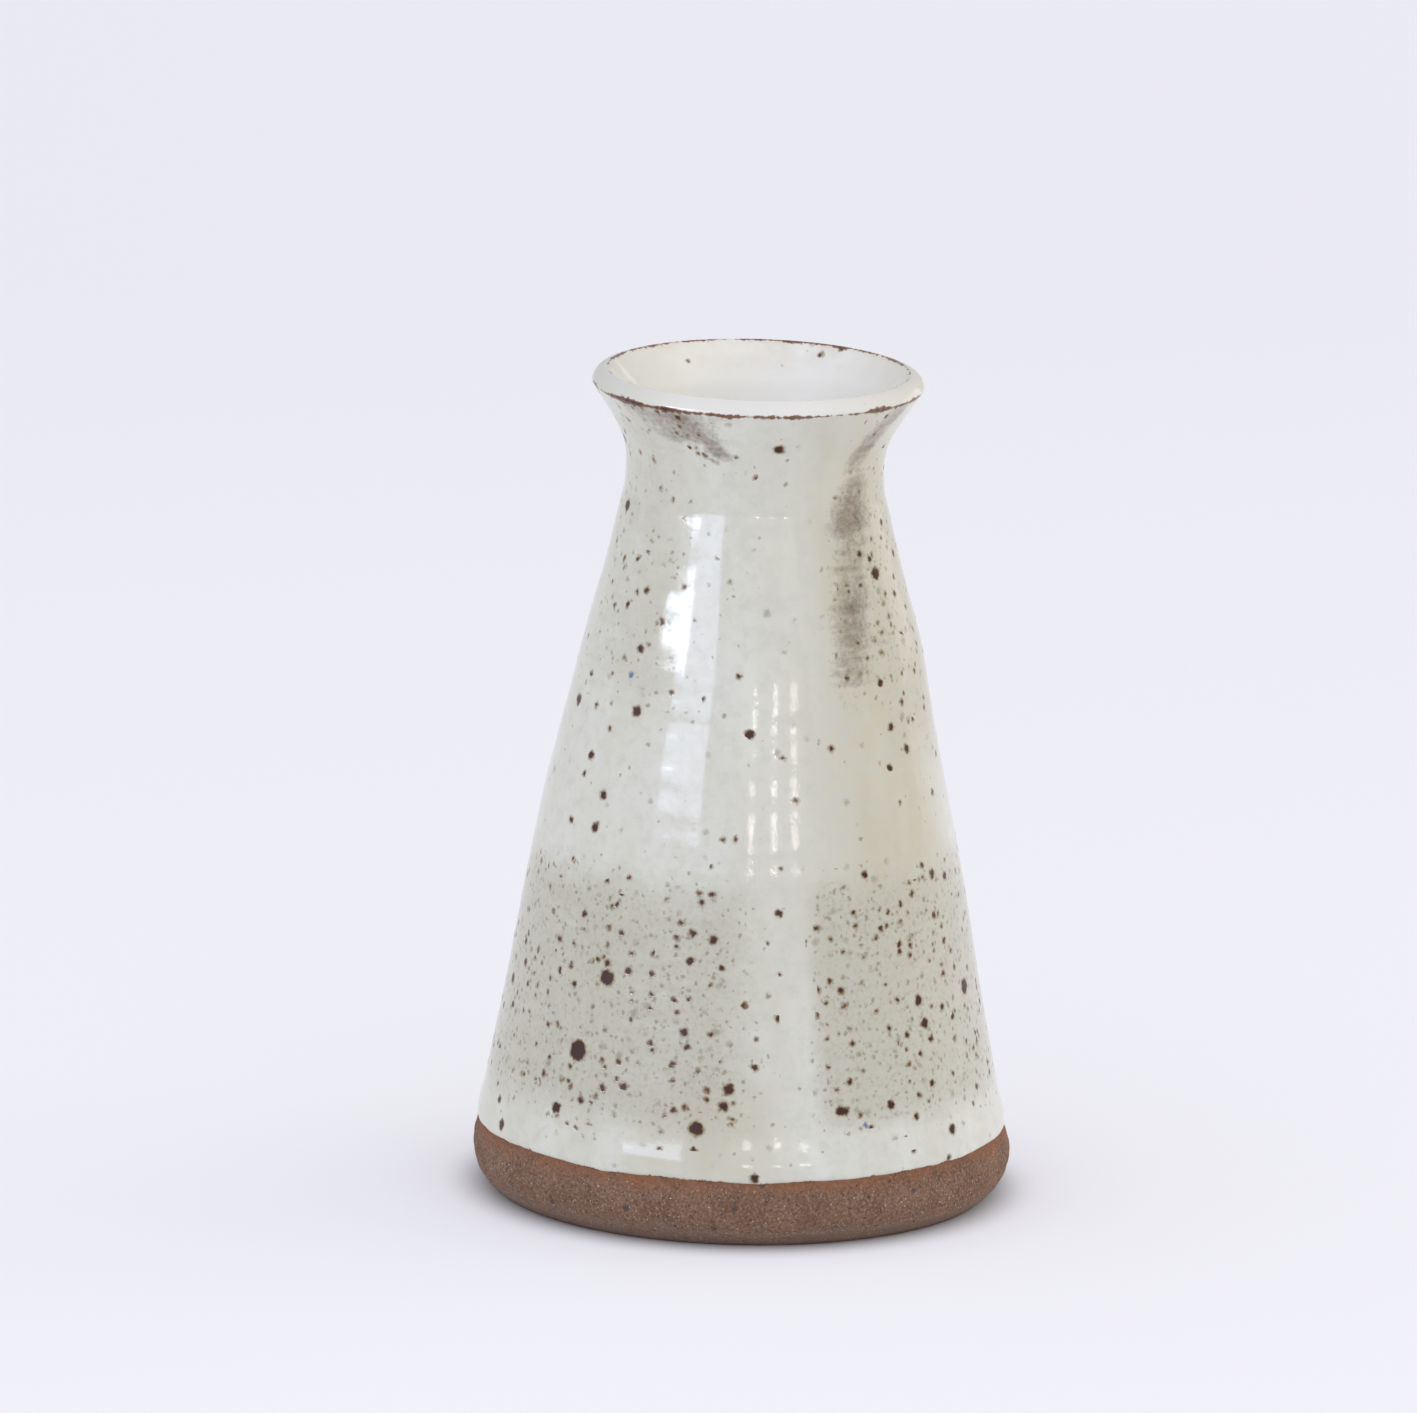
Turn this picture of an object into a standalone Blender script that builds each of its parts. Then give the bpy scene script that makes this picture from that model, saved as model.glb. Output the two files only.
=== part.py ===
"""Hand-thrown stoneware bud vase: a turned clay body that carries four separate skins of glaze.

One skin lines the inside, one rolls over the lip, a thin iron-brown ring sits on the lip's sharp outer
edge, and one covers the outside down to the glaze line. Below that line the clay of the foot is bare.
Frame: +Z up, origin at the centre of the foot, on the surface that it stands on. Units are metres.
"""

import math

import bpy
import numpy as np

MM = 0.001

# Driving dimensions of the finished surface.
HEIGHT = 126.4 * MM
NECK_HEIGHT = 110.5 * MM
NECK_RADIUS = 19.45 * MM
LIP_INNER_RADIUS = 22.8 * MM
LIP_OUTER_RADIUS = 25.2 * MM
LIP_DROP = 2.0 * MM
LIP_CROWN = 0.35 * MM
NECK_WALL = 3.55 * MM

GLAZE_LINE = 10.4 * MM
GLAZE_LINE_RADIUS = 40.1 * MM
WIDEST_RADIUS = 40.85 * MM
WIDEST_HEIGHT = 6.3 * MM
FOOT_RADIUS = 37.4 * MM
FOOT_RING_INNER_RADIUS = 30.4 * MM
RECESS_RADIUS = 28.6 * MM
RECESS_DEPTH = 1.6 * MM

FLOOR_TOP = 7.5 * MM
FLOOR_RADIUS = 23.5 * MM
HEEL_HEIGHT = 17.0 * MM
HEEL_RADIUS = 32.8 * MM

# Outside of the wall from the glaze line to the lip, as (height, radius).
OUTSIDE = (
    (GLAZE_LINE, GLAZE_LINE_RADIUS),
    (22.0 * MM, 37.85 * MM),
    (40.0 * MM, 34.6 * MM),
    (60.0 * MM, 30.85 * MM),
    (82.0 * MM, 26.1 * MM),
    (102.0 * MM, 21.15 * MM),
    (NECK_HEIGHT, NECK_RADIUS),
    (116.0 * MM, 20.2 * MM),
    (120.6 * MM, 22.7 * MM),
    (HEIGHT - LIP_DROP, LIP_OUTER_RADIUS),
)

# Inside of the wall from the heel of the floor to the lip, as (height, radius).
INSIDE = (
    (HEEL_HEIGHT, HEEL_RADIUS),
    (36.0 * MM, 30.5 * MM),
    (60.0 * MM, 26.7 * MM),
    (84.0 * MM, 21.8 * MM),
    (102.0 * MM, 17.4 * MM),
    (NECK_HEIGHT, NECK_RADIUS - NECK_WALL),
    (117.0 * MM, 16.9 * MM),
    (122.2 * MM, 19.6 * MM),
    (HEIGHT, LIP_INNER_RADIUS),
)

# The skins: their thickness, the clearance round them, and where the lip's own glaze ends.
GLAZE = 0.5 * MM
FIT_GAP = 0.3 * MM
LIP_GLAZE_TURNS_IN = 1.2 * MM
IRON_EDGE_REACH = 0.7 * MM

# How finely the surfaces are divided.
TURNS = 40
SHOULDER_HEIGHT = 100.0 * MM
BODY_STEP = 10.0 * MM
FLARE_STEP = 2.4 * MM
SHORTEST_EDGE = 0.2 * MM

STONEWARE = ((0.20, 0.12, 0.085), 0.85)
PALE_GLAZE = ((0.63, 0.62, 0.55), 0.15)
WHITE_GLAZE = ((0.76, 0.75, 0.70), 0.12)
IRON_GLAZE = ((0.16, 0.075, 0.035), 0.25)
LINER_GLAZE = ((0.70, 0.67, 0.55), 0.18)


def clear_scene():
    """Remove every object that the scene holds."""
    for old in list(bpy.data.objects):
        bpy.data.objects.remove(old, do_unlink=True)


def spline_through(stations):
    """A natural cubic spline through (height, radius) stations, as a function of the height."""
    height, radius = np.array(stations).T
    gap = np.diff(height)
    slope = np.diff(radius) / gap
    last = len(height) - 1
    system = np.eye(last + 1)
    target = np.zeros(last + 1)
    for i in range(1, last):
        system[i, i - 1 : i + 2] = gap[i - 1], 2 * (gap[i - 1] + gap[i]), gap[i]
        target[i] = 6 * (slope[i] - slope[i - 1])
    bend = np.linalg.solve(system, target)

    def radius_at(z):
        i = int(np.clip(np.searchsorted(height, z) - 1, 0, last - 1))
        below = z - height[i]
        above = height[i + 1] - z
        curve = (bend[i] * above**3 + bend[i + 1] * below**3) / (6 * gap[i])
        from_lower = (radius[i] / gap[i] - bend[i] * gap[i] / 6) * above
        from_upper = (radius[i + 1] / gap[i] - bend[i + 1] * gap[i] / 6) * below
        return curve + from_lower + from_upper

    return radius_at


def wall(stations):
    """Points up a wall through the stations: long steps on the body and short ones in the flare."""
    radius_at = spline_through(stations)
    lowest, highest = stations[0][0], stations[-1][0]
    body = np.linspace(lowest, SHOULDER_HEIGHT, 1 + round((SHOULDER_HEIGHT - lowest) / BODY_STEP))
    flare = np.linspace(SHOULDER_HEIGHT, highest, 1 + round((highest - SHOULDER_HEIGHT) / FLARE_STEP))
    return np.array([(radius_at(z), z) for z in (*body, *flare[1:])])


def floor_and_heel():
    """The inside from the centre of the floor out and round a quarter ellipse to the wall."""
    across = HEEL_RADIUS - FLOOR_RADIUS
    rise = HEEL_HEIGHT - FLOOR_TOP
    quarter = [
        (FLOOR_RADIUS + across * math.sin(a), HEEL_HEIGHT - rise * math.cos(a))
        for a in np.linspace(0, math.pi / 2, 6)
    ]
    return np.array([(0.0, FLOOR_TOP), *quarter])


def lip():
    """The lip from its inner edge down to its outer edge, a shallow arc that stands a little proud."""
    inner = np.array((LIP_INNER_RADIUS, HEIGHT))
    across = np.array((LIP_OUTER_RADIUS - LIP_INNER_RADIUS, -LIP_DROP))
    proud = np.array((LIP_DROP, across[0])) / np.linalg.norm(across) * LIP_CROWN
    return np.array([inner + t * across + math.sin(math.pi * t) * proud for t in np.linspace(0, 1, 5)])


def foot():
    """The bare foot from just under its widest ring, round to the foot ring and the recess."""
    inset = WIDEST_RADIUS - FOOT_RADIUS
    rounding = (inset**2 + WIDEST_HEIGHT**2) / (2 * inset)
    lowest = math.asin(WIDEST_HEIGHT / rounding)
    centre = WIDEST_RADIUS - rounding
    arc = [
        (centre + rounding * math.cos(a), WIDEST_HEIGHT - rounding * math.sin(a))
        for a in np.linspace(0, lowest, 5)
    ]
    underside = [(FOOT_RING_INNER_RADIUS, 0.0), (RECESS_RADIUS, RECESS_DEPTH), (0.0, RECESS_DEPTH)]
    return np.array([*arc, *underside])


def distances(points):
    """How far along the polyline each of its points lies."""
    steps = np.linalg.norm(np.diff(points, axis=0), axis=1)
    return np.concatenate(([0.0], np.cumsum(steps)))


def stretch(points, start, end):
    """The part of a polyline that lies between two distances along it."""
    along = distances(points)
    between = (along > start + SHORTEST_EDGE) & (along < end - SHORTEST_EDGE)
    first, last = ([np.interp(at, along, column) for column in points.T] for at in (start, end))
    return np.vstack((first, points[between], last))


def beneath(points, depth):
    """The polyline moved square to itself into the wall, which lies to the right as it runs."""
    steps = np.diff(points, axis=0)
    steps /= np.linalg.norm(steps, axis=1)[:, None]
    ahead = np.vstack((steps, steps[-1:]))
    behind = np.vstack((steps[:1], steps))
    along = ahead + behind
    along /= np.linalg.norm(along, axis=1)[:, None]
    right = np.column_stack((along[:, 1], -along[:, 0]))
    reach = depth / (ahead * along).sum(axis=1)
    return points + right * reach[:, None]


def skin(surface, start, end):
    """Outline of a glaze skin over a stretch of the surface, with its underside parallel to it."""
    face = stretch(surface, start, end)
    return np.vstack((face, beneath(face, GLAZE)[::-1]))


def clay(surface, line):
    """Outline of the clay: under the glaze down to the glaze line, then the bare surface."""
    bed = beneath(stretch(surface, 0.0, line), GLAZE + FIT_GAP)
    return np.vstack((bed, stretch(surface, line, distances(surface)[-1])))


def make_material(name, finish):
    """A Principled material from a colour and a roughness."""
    colour, roughness = finish
    material = bpy.data.materials.new(name)
    material.use_nodes = True
    shader = material.node_tree.nodes["Principled BSDF"]
    shader.inputs["Base Color"].default_value = (*colour, 1.0)
    shader.inputs["Roughness"].default_value = roughness
    shader.inputs["Metallic"].default_value = 0.0
    material.diffuse_color = (*colour, 1.0)
    return material


def turn(name, outline, finish, collection):
    """Turn an outline about the Z axis; one that starts and ends on the axis stays open there."""
    on_axis = outline[0][0] == 0.0 and outline[-1][0] == 0.0
    count = len(outline)
    edges = [(i, (i + 1) % count) for i in range(count - 1 if on_axis else count)]
    mesh = bpy.data.meshes.new(name)
    mesh.from_pydata([(radius, 0.0, z) for radius, z in outline], edges, [])
    mesh.materials.append(make_material(name, finish))
    piece = bpy.data.objects.new(name, mesh)
    collection.objects.link(piece)
    screw = piece.modifiers.new("turn", "SCREW")
    screw.axis = "Z"
    screw.angle = math.tau
    screw.steps = TURNS
    screw.render_steps = TURNS
    screw.use_merge_vertices = True
    screw.merge_threshold = 0.02 * MM
    screw.use_smooth_shade = True
    return piece


def build():
    """Make the five pieces from one finished surface that runs from the floor to the recess."""
    clear_scene()
    collection = bpy.data.collections.new("bud_vase")
    bpy.context.scene.collection.children.link(collection)

    inside = np.vstack((floor_and_heel(), wall(INSIDE)[1:]))
    outside = wall(OUTSIDE)[::-1]
    surface = np.vstack((inside, lip()[1:], outside[1:], foot()))
    inner_edge = distances(inside)[-1]
    outer_edge = inner_edge + distances(lip())[-1]
    glaze_end = outer_edge + distances(outside)[-1]
    lip_glaze_start = inner_edge - LIP_GLAZE_TURNS_IN
    iron_start = outer_edge - IRON_EDGE_REACH
    iron_end = outer_edge + IRON_EDGE_REACH

    turn("clay_body", clay(surface, glaze_end + FIT_GAP), STONEWARE, collection)
    turn("liner_glaze", skin(surface, 0.0, lip_glaze_start - FIT_GAP), LINER_GLAZE, collection)
    turn("lip_glaze", skin(surface, lip_glaze_start, iron_start - FIT_GAP), WHITE_GLAZE, collection)
    turn("iron_edge", skin(surface, iron_start, iron_end), IRON_GLAZE, collection)
    turn("outer_glaze", skin(surface, iron_end + FIT_GAP, glaze_end), PALE_GLAZE, collection)


build()
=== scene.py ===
"""Looks of a hand-thrown stoneware bud vase with a speckled off-white glaze and a bare clay foot.

Every piece is turned from one finished surface. It runs from the middle of the floor inside, up the
wall, over the lip and down the outside to the bare foot. The form's sizes are in millimetres.
"""

from __future__ import annotations

import logging
import math
from dataclasses import dataclass, field
from enum import Enum
from functools import partial
from typing import Any, Callable

import bpy
import numpy as np
from mathutils import Matrix, Vector


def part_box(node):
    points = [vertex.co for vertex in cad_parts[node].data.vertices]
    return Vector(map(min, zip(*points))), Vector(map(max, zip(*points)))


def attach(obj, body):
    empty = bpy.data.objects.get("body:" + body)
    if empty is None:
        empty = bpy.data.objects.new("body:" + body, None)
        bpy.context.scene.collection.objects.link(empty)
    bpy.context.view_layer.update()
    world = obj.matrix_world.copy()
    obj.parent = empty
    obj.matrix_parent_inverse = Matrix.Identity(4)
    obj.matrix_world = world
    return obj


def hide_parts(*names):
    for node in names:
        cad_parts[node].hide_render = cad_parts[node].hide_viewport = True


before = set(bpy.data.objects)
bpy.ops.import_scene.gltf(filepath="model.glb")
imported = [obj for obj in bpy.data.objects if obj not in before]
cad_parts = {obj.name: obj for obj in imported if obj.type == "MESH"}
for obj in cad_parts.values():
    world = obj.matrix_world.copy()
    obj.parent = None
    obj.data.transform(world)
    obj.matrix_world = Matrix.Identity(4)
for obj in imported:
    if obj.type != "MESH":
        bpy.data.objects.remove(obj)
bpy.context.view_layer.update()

MM = 0.001
TURNS = 320
SKIN = 0.5
"""Thickness of the glaze in millimetres."""
CLEARANCE = 0.3
"""Gap between the glaze and its bed in the clay, in millimetres."""
LOG = logging.getLogger("bud_vase")


def linear(colour: str) -> tuple[float, float, float, float]:
    """Turn an sRGB hex colour into linear light.

    Args:
        colour: Six hex digits after a hash sign.

    Returns:
        Linear red, green and blue, and an alpha of one.
    """
    channels = [int(colour[i : i + 2], 16) / 255 for i in (1, 3, 5)]
    light = [c / 12.92 if c <= 0.04045 else ((c + 0.055) / 1.055) ** 2.4 for c in channels]
    return (*light, 1.0)


def add_node(
    tree: bpy.types.NodeTree,
    kind: str,
    inputs: dict[int | str, Any] | None = None,
    out: int | str | None = 0,
    **settings: Any,
) -> Any:
    """Add a node with its settings, and give its inputs their values or links.

    Args:
        tree: The node tree that gets the node.
        kind: The node's type name.
        inputs: A value or an output socket for each input, by name or number.
        out: Name or number of the output to return, or None for the node itself.
        **settings: Properties of the node.

    Returns:
        The chosen output socket, or the node.
    """
    node = tree.nodes.new(kind)
    for name, value in settings.items():
        setattr(node, name, value)
    for key, value in (inputs or {}).items():
        if isinstance(value, bpy.types.NodeSocket):
            tree.links.new(value, node.inputs[key])
        else:
            node.inputs[key].default_value = value
    return node if out is None else node.outputs[out]


def new_material(name: str) -> tuple[bpy.types.Material, bpy.types.NodeTree, Any]:
    """Start a material, and give it with its tree and the inputs of its shader."""
    material = bpy.data.materials.new(name)
    material.use_nodes = True
    return material, material.node_tree, material.node_tree.nodes["Principled BSDF"].inputs


def new_group(name: str, sizes: tuple[tuple[str, str], ...]) -> tuple[bpy.types.NodeTree, Any]:
    """Start a Geometry Nodes tree that takes a mesh with named sizes, and gives a mesh.

    Args:
        name: What the tree makes.
        sizes: Name and socket type of each size.

    Returns:
        The tree, and its inputs as sockets to link from.
    """
    tree = bpy.data.node_groups.new(name, "GeometryNodeTree")
    tree.interface.new_socket("Geometry", in_out="OUTPUT", socket_type="NodeSocketGeometry")
    for label, kind in (("Geometry", "NodeSocketGeometry"), *sizes):
        tree.interface.new_socket(label, in_out="INPUT", socket_type=kind)
    return tree, add_node(tree, "NodeGroupInput", out=None).outputs


# ------------------------------------------------------------------------------------------------
# The form
# ------------------------------------------------------------------------------------------------


def spline_through(stations: list[tuple[float, float]]) -> Callable[[Any], Any]:
    """Fit a natural cubic spline through the stations of a wall.

    Args:
        stations: Height and radius of each station, from low to high.

    Returns:
        A function from heights to radii.
    """
    height, radius = np.array(stations).T
    gap = np.diff(height)
    slope = np.diff(radius) / gap
    last = len(height) - 1
    system = np.eye(last + 1)
    target = np.zeros(last + 1)
    for i in range(1, last):
        system[i, i - 1 : i + 2] = gap[i - 1], 2 * (gap[i - 1] + gap[i]), gap[i]
        target[i] = 6 * (slope[i] - slope[i - 1])
    bend = np.linalg.solve(system, target)

    def radius_at(z: Any) -> Any:
        """Radius of the wall at a height, or at each of several."""
        i = np.clip(np.searchsorted(height, z) - 1, 0, last - 1)
        below = z - height[i]
        above = height[i + 1] - z
        curve = (bend[i] * above**3 + bend[i + 1] * below**3) / (6 * gap[i])
        lower = (radius[i] / gap[i] - bend[i] * gap[i] / 6) * above
        upper = (radius[i + 1] / gap[i] - bend[i + 1] * gap[i] / 6) * below
        return curve + lower + upper

    return radius_at


def distances(points: np.ndarray) -> np.ndarray:
    """How far along a polyline each of its points lies."""
    return np.concatenate(([0.0], np.cumsum(np.linalg.norm(np.diff(points, axis=0), axis=1))))


def ramp(value: np.ndarray, low: float, high: float) -> np.ndarray:
    """Smooth step from 0 at low to 1 at high, which may be the smaller of the two."""
    t = np.clip((value - low) / (high - low), 0.0, 1.0)
    return t * t * (3 - 2 * t)


@dataclass
class VaseForm:
    """The finished surface of the vase, with its driving sizes taken from the frame."""

    height: float
    lip_outer: float
    glaze_line: float
    widest: float
    floor_top: float
    lip_inner: float = 22.8
    lip_drop: float = 2.0
    lip_crown: float = 0.52
    neck_height: float = 110.5
    neck_radius: float = 19.55
    neck_wall: float = 3.4
    line_radius: float = 40.25
    heel_height: float = 17.0
    heel_radius: float = 32.8
    floor_radius: float = 23.5
    finger_rings: tuple[tuple[float, float, float, float], ...] = (
        (74.0, 16.0, 9.0, -0.4),
        (86.0, 7.0, 7.0, 0.15),
        (108.2, 1.6, 1.3, -0.13),
        (50.5, 2.6, 2.2, -0.05),
    )
    grain: float = 0.1
    wall_steps: int = 600
    edge_rounding: float = 0.28
    points: np.ndarray = field(init=False)
    along: np.ndarray = field(init=False)

    @classmethod
    def from_frame(cls) -> "VaseForm":
        """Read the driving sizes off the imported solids."""
        return cls(
            height=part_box("lip_glaze")[1][2] / MM,
            lip_outer=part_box("iron_edge")[1][0] / MM,
            glaze_line=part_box("outer_glaze")[0][2] / MM,
            widest=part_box("clay_body")[1][0] / MM,
            floor_top=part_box("liner_glaze")[0][2] / MM + SKIN,
        )

    def __post_init__(self) -> None:
        """Lay the whole surface out once, and measure along it from the lip's outer edge."""
        inside = np.vstack((self.floor_and_heel(), self.wall(self.inside_stations())[1:]))
        over_lip = np.vstack((inside, self.lip()[1:]))
        outside = self.wall(self.outside_stations())[::-1][1:]
        outside[:, 0] += self.ringed(outside[:, 1])
        path = np.vstack((over_lip, outside))
        total = distances(path)
        steps = np.linspace(0.0, total[-1], 1 + round(total[-1] / self.grain))
        dense = np.column_stack([np.interp(steps, total, column) for column in path.T])
        self.points = self.soften(dense)
        self.along = steps - distances(over_lip)[-1]

    def outside_stations(self) -> list[tuple[float, float]]:
        """Height and radius up the outside, from the glaze line to the lip."""
        return [
            (self.glaze_line, self.line_radius),
            (22.0, 37.85),
            (40.0, 34.6),
            (60.0, 31.1),
            (82.0, 26.3),
            (99.0, 21.8),
            (105.5, 20.35),
            (self.neck_height, self.neck_radius),
            (116.0, 20.2),
            (120.6, 22.7),
            (self.height - self.lip_drop, self.lip_outer),
        ]

    def inside_stations(self) -> list[tuple[float, float]]:
        """Height and radius up the inside, from the heel of the floor to the lip."""
        return [
            (self.heel_height, self.heel_radius),
            (36.0, 30.5),
            (60.0, 26.7),
            (84.0, 21.8),
            (102.0, 17.4),
            (self.neck_height, self.neck_radius - self.neck_wall),
            (117.0, 16.9),
            (122.2, 19.6),
            (self.height, self.lip_inner),
        ]

    def wall(self, stations: list[tuple[float, float]]) -> np.ndarray:
        """Closely spaced points up a wall through its stations."""
        heights = np.linspace(stations[0][0], stations[-1][0], self.wall_steps)
        return np.column_stack((spline_through(stations)(heights), heights))

    def ringed(self, heights: np.ndarray) -> np.ndarray:
        """How far the rings that a finger left stand out at each height."""
        return sum(
            rise * np.exp(-(((heights - middle) / np.where(heights < middle, below, above)) ** 2))
            for middle, below, above, rise in self.finger_rings
        )

    def floor_and_heel(self) -> np.ndarray:
        """Points from the middle of the floor out and round a quarter ellipse to the wall."""
        turn = np.linspace(0.0, math.pi / 2, 60)
        across = self.heel_radius - self.floor_radius
        rise = self.heel_height - self.floor_top
        radius = self.floor_radius + across * np.sin(turn)
        height = self.heel_height - rise * np.cos(turn)
        return np.vstack(([0.0, self.floor_top], np.column_stack((radius, height))))

    def lip(self) -> np.ndarray:
        """Points over the lip, from its inner edge to its outer edge: a roll that stands proud."""
        inner = np.array((self.lip_inner, self.height))
        across = np.array((self.lip_outer - self.lip_inner, -self.lip_drop))
        proud = np.array((self.lip_drop, across[0])) / np.linalg.norm(across) * self.lip_crown
        share = np.linspace(0.0, 1.0, 40)[:, None]
        return inner + share * across + np.sin(math.pi * share) * proud

    def soften(self, points: np.ndarray) -> np.ndarray:
        """Round the lip's two edges, as melted glaze rounds them.

        Args:
            points: Evenly spaced points along the surface.

        Returns:
            The same number of points, averaged with their neighbours.
        """
        reach = round(3 * self.edge_rounding / self.grain)
        weight = np.exp(-0.5 * (np.arange(-reach, reach + 1) * self.grain / self.edge_rounding) ** 2)
        weight /= weight.sum()
        before = 2 * points[0] - points[reach:0:-1]
        after = 2 * points[-1] - points[-2 : -2 - reach : -1]
        padded = np.vstack((before, points, after))
        soft = [np.convolve(column, weight, mode="valid") for column in padded.T]
        return np.column_stack(soft)

    def at(self, along: np.ndarray) -> tuple[np.ndarray, np.ndarray, np.ndarray]:
        """Points, outward normals and tangents of the surface.

        Args:
            along: Distances from the lip's outer edge, positive down the outside.

        Returns:
            Points, unit normals and unit tangents, one row for each distance.
        """
        tangents = np.gradient(self.points, axis=0)
        tangents /= np.linalg.norm(tangents, axis=1)[:, None]
        point, tangent = (
            np.column_stack([np.interp(along, self.along, column) for column in table.T])
            for table in (self.points, tangents)
        )
        return point, np.column_stack((-tangent[:, 1], tangent[:, 0])), tangent

    def radius_at(self, height: float, inside: bool = False) -> float:
        """Radius of the outside or the inside at a height, in millimetres."""
        stations = self.inside_stations() if inside else self.outside_stations()
        return float(spline_through(stations)(height))

    @property
    def line(self) -> float:
        """Distance down the outside from the lip's outer edge to the glaze line."""
        return float(self.along[-1])

    @property
    def start(self) -> float:
        """Distance, below zero, from the lip's outer edge back to the middle of the floor."""
        return float(self.along[0])

    @property
    def lip_width(self) -> float:
        """Distance over the lip between its two edges."""
        return float(distances(self.lip())[-1])


@dataclass
class HandOfTheThrower:
    """What the hand left in the form: a centre line that sways, and a lip that is not quite level."""

    sways: tuple[tuple[float, float, float], ...] = (
        (5.0, 8.0, 0.27),
        (62.0, 14.0, -0.2),
        (85.0, 9.0, 0.25),
        (98.0, 5.0, 0.1),
        (125.0, 9.0, 0.3),
    )
    tilt_across: float = math.radians(-0.42)
    tilt_away: float = math.radians(0.4)
    tilt_from: float = 100.0
    tilt_over: float = 20.0
    lean_away: float = 0.3

    def lean(self, heights: np.ndarray) -> np.ndarray:
        """Sideways offset of the centre line at each height, as X and Y in millimetres."""
        across = sum(
            size * np.exp(-(((heights - middle) / spread) ** 2)) for middle, spread, size in self.sways
        )
        return np.column_stack((across, self.lean_away * across))

    def tilt(self, heights: np.ndarray) -> np.ndarray:
        """Rise per millimetre along X and along Y at each height."""
        share = ramp(heights, self.tilt_from, self.tilt_from + self.tilt_over)
        return np.column_stack((share * self.tilt_across, share * self.tilt_away))


# ------------------------------------------------------------------------------------------------
# Turning
# ------------------------------------------------------------------------------------------------


@dataclass
class Outline:
    """A profile to be turned: its points, and how far each one follows the thrower's marks."""

    points: np.ndarray
    along: np.ndarray
    push: np.ndarray
    shift: np.ndarray


@dataclass
class ThrowingMarks:
    """Marks that fingers leave on a turning wall, in millimetres."""

    ring_depth: float = 0.0
    ring_pitch: float = 12.0
    spiral_depth: float = 0.0
    spiral_pitch: float = 5.0
    waver: float = 0.0
    waver_length: float = 16.0
    seed: int = 1


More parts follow.
